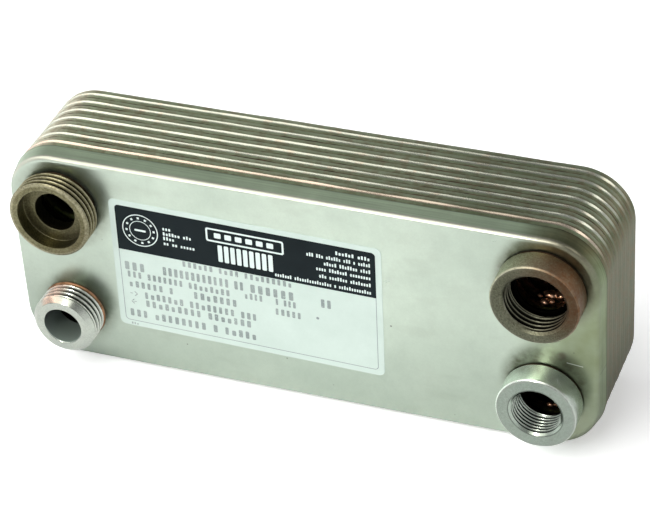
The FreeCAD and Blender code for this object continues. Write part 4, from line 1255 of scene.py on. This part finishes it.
class Layer:
    """Flat shapes of one label object, all between two heights above the front face."""

    def __init__(self, low, high):
        self.low, self.high = low, high
        self.verts, self.faces = [], []

    def add(self, x, z, height):
        """Add a vertex, turned by the label's tilt."""
        dx, dz = x - LABEL_X, z - LABEL_Z
        c, s = math.cos(LABEL_TILT), math.sin(LABEL_TILT)
        self.verts.append((LABEL_X + c * dx + s * dz, FRONT - height,
                           LABEL_Z - s * dx + c * dz))

    def slab(self, outline, edge=0.0):
        """Filled outline, its upper edge broken by edge."""
        count, first = len(outline), len(self.verts)
        cx = sum(p[0] for p in outline) / count
        cz = sum(p[1] for p in outline) / count
        for height, shrink in ((self.low, 0.0), (self.high - edge, 0.0), (self.high, edge)):
            for x, z in outline:
                length = math.hypot(x - cx, z - cz)
                self.add(x - (x - cx) / length * shrink, z - (z - cz) / length * shrink,
                         height)
        self.faces += grid_faces(3, count, first, wrap_rows=False)
        self.faces.append(tuple(range(first, first + count))[::-1])
        self.faces.append(tuple(range(first + 2 * count, first + 3 * count)))

    def band(self, outer, inner):
        """Frame between two outlines of the same count."""
        first = len(self.verts)
        for out, into in zip(outer, inner):
            for point, height in ((into, self.low), (out, self.low),
                                  (out, self.high), (into, self.high)):
                self.add(*point, height)
        self.faces += grid_faces(len(outer), 4, first)

    def words(self, rng, x, z, height, letters, width, gap=0.9, tall=0.28, ink=0.62,
              from_right=False):
        """Row of plain blocks standing in for words.

        letters: count in each word; width: of one letter's place; gap: between words,
        in letters; tall: share of full-height blocks; ink: share of the place filled.
        """
        if from_right:
            x -= sum(letters) * width + (len(letters) - 1) * width * gap
        for count in letters:
            for k in range(count):
                block = height * (1.0 if rng.random() < tall else 0.74)
                wide = width * ink * (0.9 + 0.2 * rng.random())
                left = x + k * width
                self.slab(rounded_box(left, z, left + wide, z + block,
                                      min(wide, block) * 0.25, 2))
            x += count * width + width * gap

    def bar(self, x0, z0, x1, z1, width):
        length = math.hypot(x1 - x0, z1 - z0)
        px, pz = -(z1 - z0) / length * width / 2, (x1 - x0) / length * width / 2
        self.slab([(x0 - px, z0 - pz), (x1 - px, z1 - pz), (x1 + px, z1 + pz),
                   (x0 + px, z0 + pz)])

    def build(self, name, material, node=None):
        make_object(name, self.verts, self.faces, MATERIALS[material], "label_film", node,
                    sharp=40)


# header rows, left block: foot z, letters in each word
HEADER_LEFT = ((16.9, (3,)), (15.0, (6, 3)), (13.3, (4,)), (11.4, (2, 2, 5)))
# header rows, right block: foot z, letters in each word, letter width
HEADER_RIGHT = ((20.1, (6, 4), 1.02), (17.8, (3, 3, 6, 3, 1, 5), 0.80), (15.4, (5, 7, 4), 0.84),
                (13.1, (4, 7, 8), 0.84), (10.5, (3, 7, 8), 0.84), (7.75, (7, 15, 1, 13), 0.80))
# rows on the white part: left x, foot z, letters in each word, letter width
LARGE_ROWS = ((-57.1, -0.85, (3,), 2.55), (-44.3, -0.35, (12, 2), 1.88),
              (-15.3, -0.45, (6,), 2.5), (7.6, -0.75, (2,), 2.0))
# the same, then letter height
SMALL_ROWS = (
    (-37.4, 4.45, (6, 4, 9), 1.78, 2.10), (-56.4, -3.6, (3, 7, 8), 1.78, 2.34),
    (-17.3, -3.2, (4,), 1.6, 2.34), (-7.2, -3.2, (1, 3), 1.5, 2.34),
    (-56.1, -7.3, (6, 1), 2.0, 2.40), (-34.4, -7.2, (7,), 2.15, 2.64),
    (-7.4, -7.0, (5,), 1.8, 2.40), (-51.2, -11.1, (7, 8, 3), 1.95, 2.52),
    (-51.1, -14.2, (9, 7), 2.15, 2.52), (-56.8, -18.8, (3, 8, 1, 5), 2.25, 2.76),
    (-56.8, -22.2, (3,), 0.9, 0.84))


def build_label_ground():
    """Film, dark header band and the thin line round the part below it."""
    base = Layer(0.0, FILM)
    base.slab(rounded_box(LEFT, BOTTOM, RIGHT, TOP, 2.0, 10), edge=0.03)
    base.build("label_base", "film", "label")
    x0, x1 = LEFT + MARGIN, RIGHT - MARGIN
    header = Layer(ON_FILM[0], FILM + 0.012)
    header.slab(rounded_box(x0, 6.75, x1, TOP - MARGIN, 1.3, 6,
                            square=("bottom left", "bottom right")))
    header.build("label_header", "ink")
    line = Layer(*ON_FILM)
    z0, z1 = BOTTOM + MARGIN, 6.72
    square = ("top right", "top left")
    line.band(rounded_box(x0, z0, x1, z1, 1.3, 6, square),
              rounded_box(x0 + 0.2, z0 + 0.2, x1 - 0.2, z1 - 0.02, 1.15, 6, square))
    line.build("label_frame_line", "line")


def build_badge():
    """Two rings, a bar and a circle of 12 ticks."""
    badge = Layer(*ON_HEADER)
    cx, cz = -50.7, 15.1
    badge.band(circle(cx, cz, 5.92, 64), circle(cx, cz, 5.60, 64))
    badge.band(circle(cx, cz, 3.56, 48), circle(cx, cz, 3.35, 48))
    badge.slab(rounded_box(cx - 1.9, cz - 0.35, cx + 1.9, cz + 0.35, 0.3, 3))
    for k in range(12):
        angles = [2 * math.pi * k / 12 + 0.16 * j / 3 for j in range(4)]
        tick = [(4.90, t) for t in angles] + [(4.20, t) for t in angles[::-1]]
        badge.slab([(cx + r * math.cos(t), cz + r * math.sin(t)) for r, t in tick])
    badge.build("label_badge", "print")


def build_header_rows(rng):
    rows = Layer(*ON_HEADER)
    for z, letters in HEADER_LEFT:
        rows.words(rng, -43.1, z, height=1.25, letters=letters, width=0.97)
    for z, letters, width in HEADER_RIGHT:
        rows.words(rng, 24.1, z, height=1.35, letters=letters, width=width, from_right=True)
    rows.build("label_header_rows", "print")


def build_centre_mark():
    """A framed row of blocks over a grille of bars."""
    mark = Layer(*ON_HEADER)
    x, z = -16.2, 18.7
    mark.band(rounded_box(x - 12.6, z - 2.5, x + 12.6, z + 2.5, 0.7, 4),
              rounded_box(x - 12.0, z - 1.9, x + 12.0, z + 1.9, 0.35, 4))
    for k in range(6):
        mark.slab(rounded_box(x - 9.9 + k * 3.4, z - 0.95, x - 7.7 + k * 3.4, z + 0.95, 0.3, 3))
    for k in range(9):
        mark.slab(rounded_box(x - 9.0 + k * 2.05, z - 9.6, x - 7.55 + k * 2.05, z - 3.4,
                              0.35, 3))
    mark.build("label_centre_mark", "print")


def build_lower_print(rng):
    """Grey rows, two arrows and a dot on the white part."""
    rows = Layer(*ON_FILM)
    for x, z, letters, width in LARGE_ROWS:
        rows.words(rng, x, z, 3.15, letters, width, gap=0.6, tall=1.0, ink=0.56)
    rows.build("label_rows_large", "grey")
    rows = Layer(*ON_FILM)
    for x, z, letters, width, height in SMALL_ROWS:
        rows.words(rng, x, z, height, letters, width, gap=0.75, tall=0.85, ink=0.54)
    rows.build("label_rows_small", "grey")
    arrows = Layer(*ON_FILM)
    x = -54.9
    for z, way in ((-9.9, 1), (-13.0, -1)):
        arrows.bar(x - 0.9 * way - 0.4, z, x - 0.1 * way - 0.4, z, 0.3)
        arrows.bar(x + 0.2 * way, z + 0.85, x + 1.1 * way, z, 0.3)
        arrows.bar(x + 0.2 * way, z - 0.85, x + 1.1 * way, z, 0.3)
    arrows.build("label_arrows", "grey")
    dot = Layer(*ON_FILM)
    dot.slab(circle(6.3, -5.2, 0.48, 20))
    dot.build("label_marks", "line")


row_rng = random.Random(11)
build_label_ground()
build_badge()
build_header_rows(row_rng)
build_centre_mark()
build_lower_print(row_rng)


# --------------------------------------------------------------------- stage
def floor_material():
    """White paper that glows towards the camera, more so far from the middle."""
    net = Net("floor_paper")
    cloud = net.noise(scale=0.006, detail=2.0, rough=0.5)
    colour = net.mix(net.linear(cloud, over=(0.3, 0.7)),
                     low=(0.91605, 0.91605, 0.91605), high=(0.93, 0.93, 0.93))
    far = net.vector("LENGTH", net.vector("MULTIPLY", net.position, (1.0, 1.0, 0.0)))
    glow = net.times(net.node("LightPath").outputs["Is Camera Ray"],
                     net.smooth(far, over=(350.0, 1500.0), to=(0.38, 0.70)))
    return net.finish({"Base Color": colour, "Roughness": 0.8, "Metallic": 0.0,
                       "Specular IOR Level": 0.2, "Emission Color": (1.0, 1.0, 1.0, 1.0),
                       "Emission Strength": glow})


def build_floor():
    half = 6.0                          # metres
    z = cad_low.z - 0.00005
    mesh = bpy.data.meshes.new("floor")
    mesh.from_pydata([(-half, -half, z), (half, -half, z), (half, half, z), (-half, half, z)],
                     [], [(0, 1, 2, 3)])
    mesh.materials.append(floor_material())
    link(bpy.data.objects.new("floor", mesh))


# world brightness: direction's z, then red, green, blue
SKY_ENDS = ((0.0, (0.90, 0.90, 0.90)), (1.0, (0.24, 0.245, 0.245)))
SKY_STEPS = ((0.16, 0.88), (0.32, 0.70), (0.50, 0.38), (0.70, 0.22))    # z, grey


def build_world():
    """Grey gradient for the light, plain white for the camera."""
    world = bpy.data.worlds.new("studio")
    bpy.context.scene.world = world
    world.use_nodes = True
    tree = world.node_tree
    tree.nodes.clear()
    kinds = ("OutputWorld", "Background", "TexCoord", "SeparateXYZ", "ValToRGB", "LightPath",
             "Mix")
    output, background, coordinates, split, ramp, path, mix = [
        tree.nodes.new("ShaderNode" + kind) for kind in kinds]
    mix.data_type = "RGBA"
    mix.inputs[7].default_value = (1.0, 1.0, 1.0, 1.0)
    background.inputs[1].default_value = 1.0
    for source, target in ((coordinates.outputs["Generated"], split.inputs[0]),
                           (split.outputs["Z"], ramp.inputs[0]),
                           (path.outputs["Is Camera Ray"], mix.inputs[0]),
                           (ramp.outputs[0], mix.inputs[6]),
                           (mix.outputs[2], background.inputs[0]),
                           (background.outputs[0], output.inputs[0])):
        tree.links.new(source, target)
    stops = ramp.color_ramp.elements
    for stop, (position, colour) in zip(stops, SKY_ENDS):
        stop.position, stop.color = position, (*colour, 1)
    for position, grey in SKY_STEPS:
        stops.new(position).color = (grey, grey, grey, 1)


def area_light(name, direction, distance, width, height, power, colour):
    """Rectangular light facing the pack; sizes in metres, power in watts."""
    direction = Vector(direction).normalized()
    light = bpy.data.lights.new(name, "AREA")
    light.shape = "RECTANGLE"
    light.size, light.size_y = width, height
    light.energy = power
    light.color = colour
    ob = bpy.data.objects.new(name, light)
    ob.location = Vector((0.0, -0.02, 0.0)) + direction * distance
    ob.rotation_mode = "QUATERNION"
    ob.rotation_quaternion = direction.to_track_quat("Z", "Y")
    return link(ob)


WARM = (1.0, 0.965, 0.90)
# lights seen only as highlights: name, direction, distance, width, height, power
SHINES = (
    ("key_shine", (-0.36, -0.46, 0.81), 2.0, 2.5, 1.7, 18.0),
    ("left_shine", (-0.86, -0.02, 0.50), 2.0, 0.9, 1.3, 3.6),
    ("right_shine", (0.62, -0.15, 0.76), 2.0, 1.3, 0.9, 3.8),
    ("back_shine", (-0.25, 0.62, 0.74), 1.8, 1.6, 0.9, 0.85),
    ("thin_strip", (-0.20, -0.745, 0.635), 1.8, 0.12, 0.40, 6.5))


def build_lights():
    """The key is split in two so paper and highlights can be balanced apart."""
    paper = area_light("key_paper", direction=(-0.45, -0.50, 0.74), distance=1.8, width=2.2,
                       height=2.2, power=50.0, colour=(1, 1, 1))
    paper.visible_glossy = False
    for settings in SHINES:
        area_light(*settings, WARM).visible_diffuse = False


def build_camera():
    turn, rise, roll = math.radians(23.03), math.radians(36.16), math.radians(-4.15)
    target = Vector((9.73, FRONT, 14.76))
    distance = 763.24
    back = Vector((math.sin(turn) * math.cos(rise), -math.cos(turn) * math.cos(rise),
                   math.sin(rise)))
    level = Vector((math.cos(turn), math.sin(turn), 0))
    upright = back.cross(level)
    right = math.cos(roll) * level + math.sin(roll) * upright
    up = -math.sin(roll) * level + math.cos(roll) * upright
    place = target + back * distance
    data = bpy.data.cameras.new("camera")
    data.sensor_width = 36.0
    data.sensor_fit = "HORIZONTAL"
    data.lens = 142.160123
    data.clip_start, data.clip_end = 0.01, 50.0
    camera = bpy.data.objects.new("camera", data)
    rows = [(right[k], up[k], back[k], place[k] * MM) for k in range(3)]
    camera.matrix_world = Matrix((*rows, (0, 0, 0, 1)))
    bpy.context.scene.camera = link(camera)


build_floor()
build_world()
build_lights()
build_camera()

view = bpy.context.scene.view_settings
view.view_transform = "Standard"
view.look = "None"
view.exposure = 0.0
view.gamma = 1.0

bpy.context.view_layer.update()
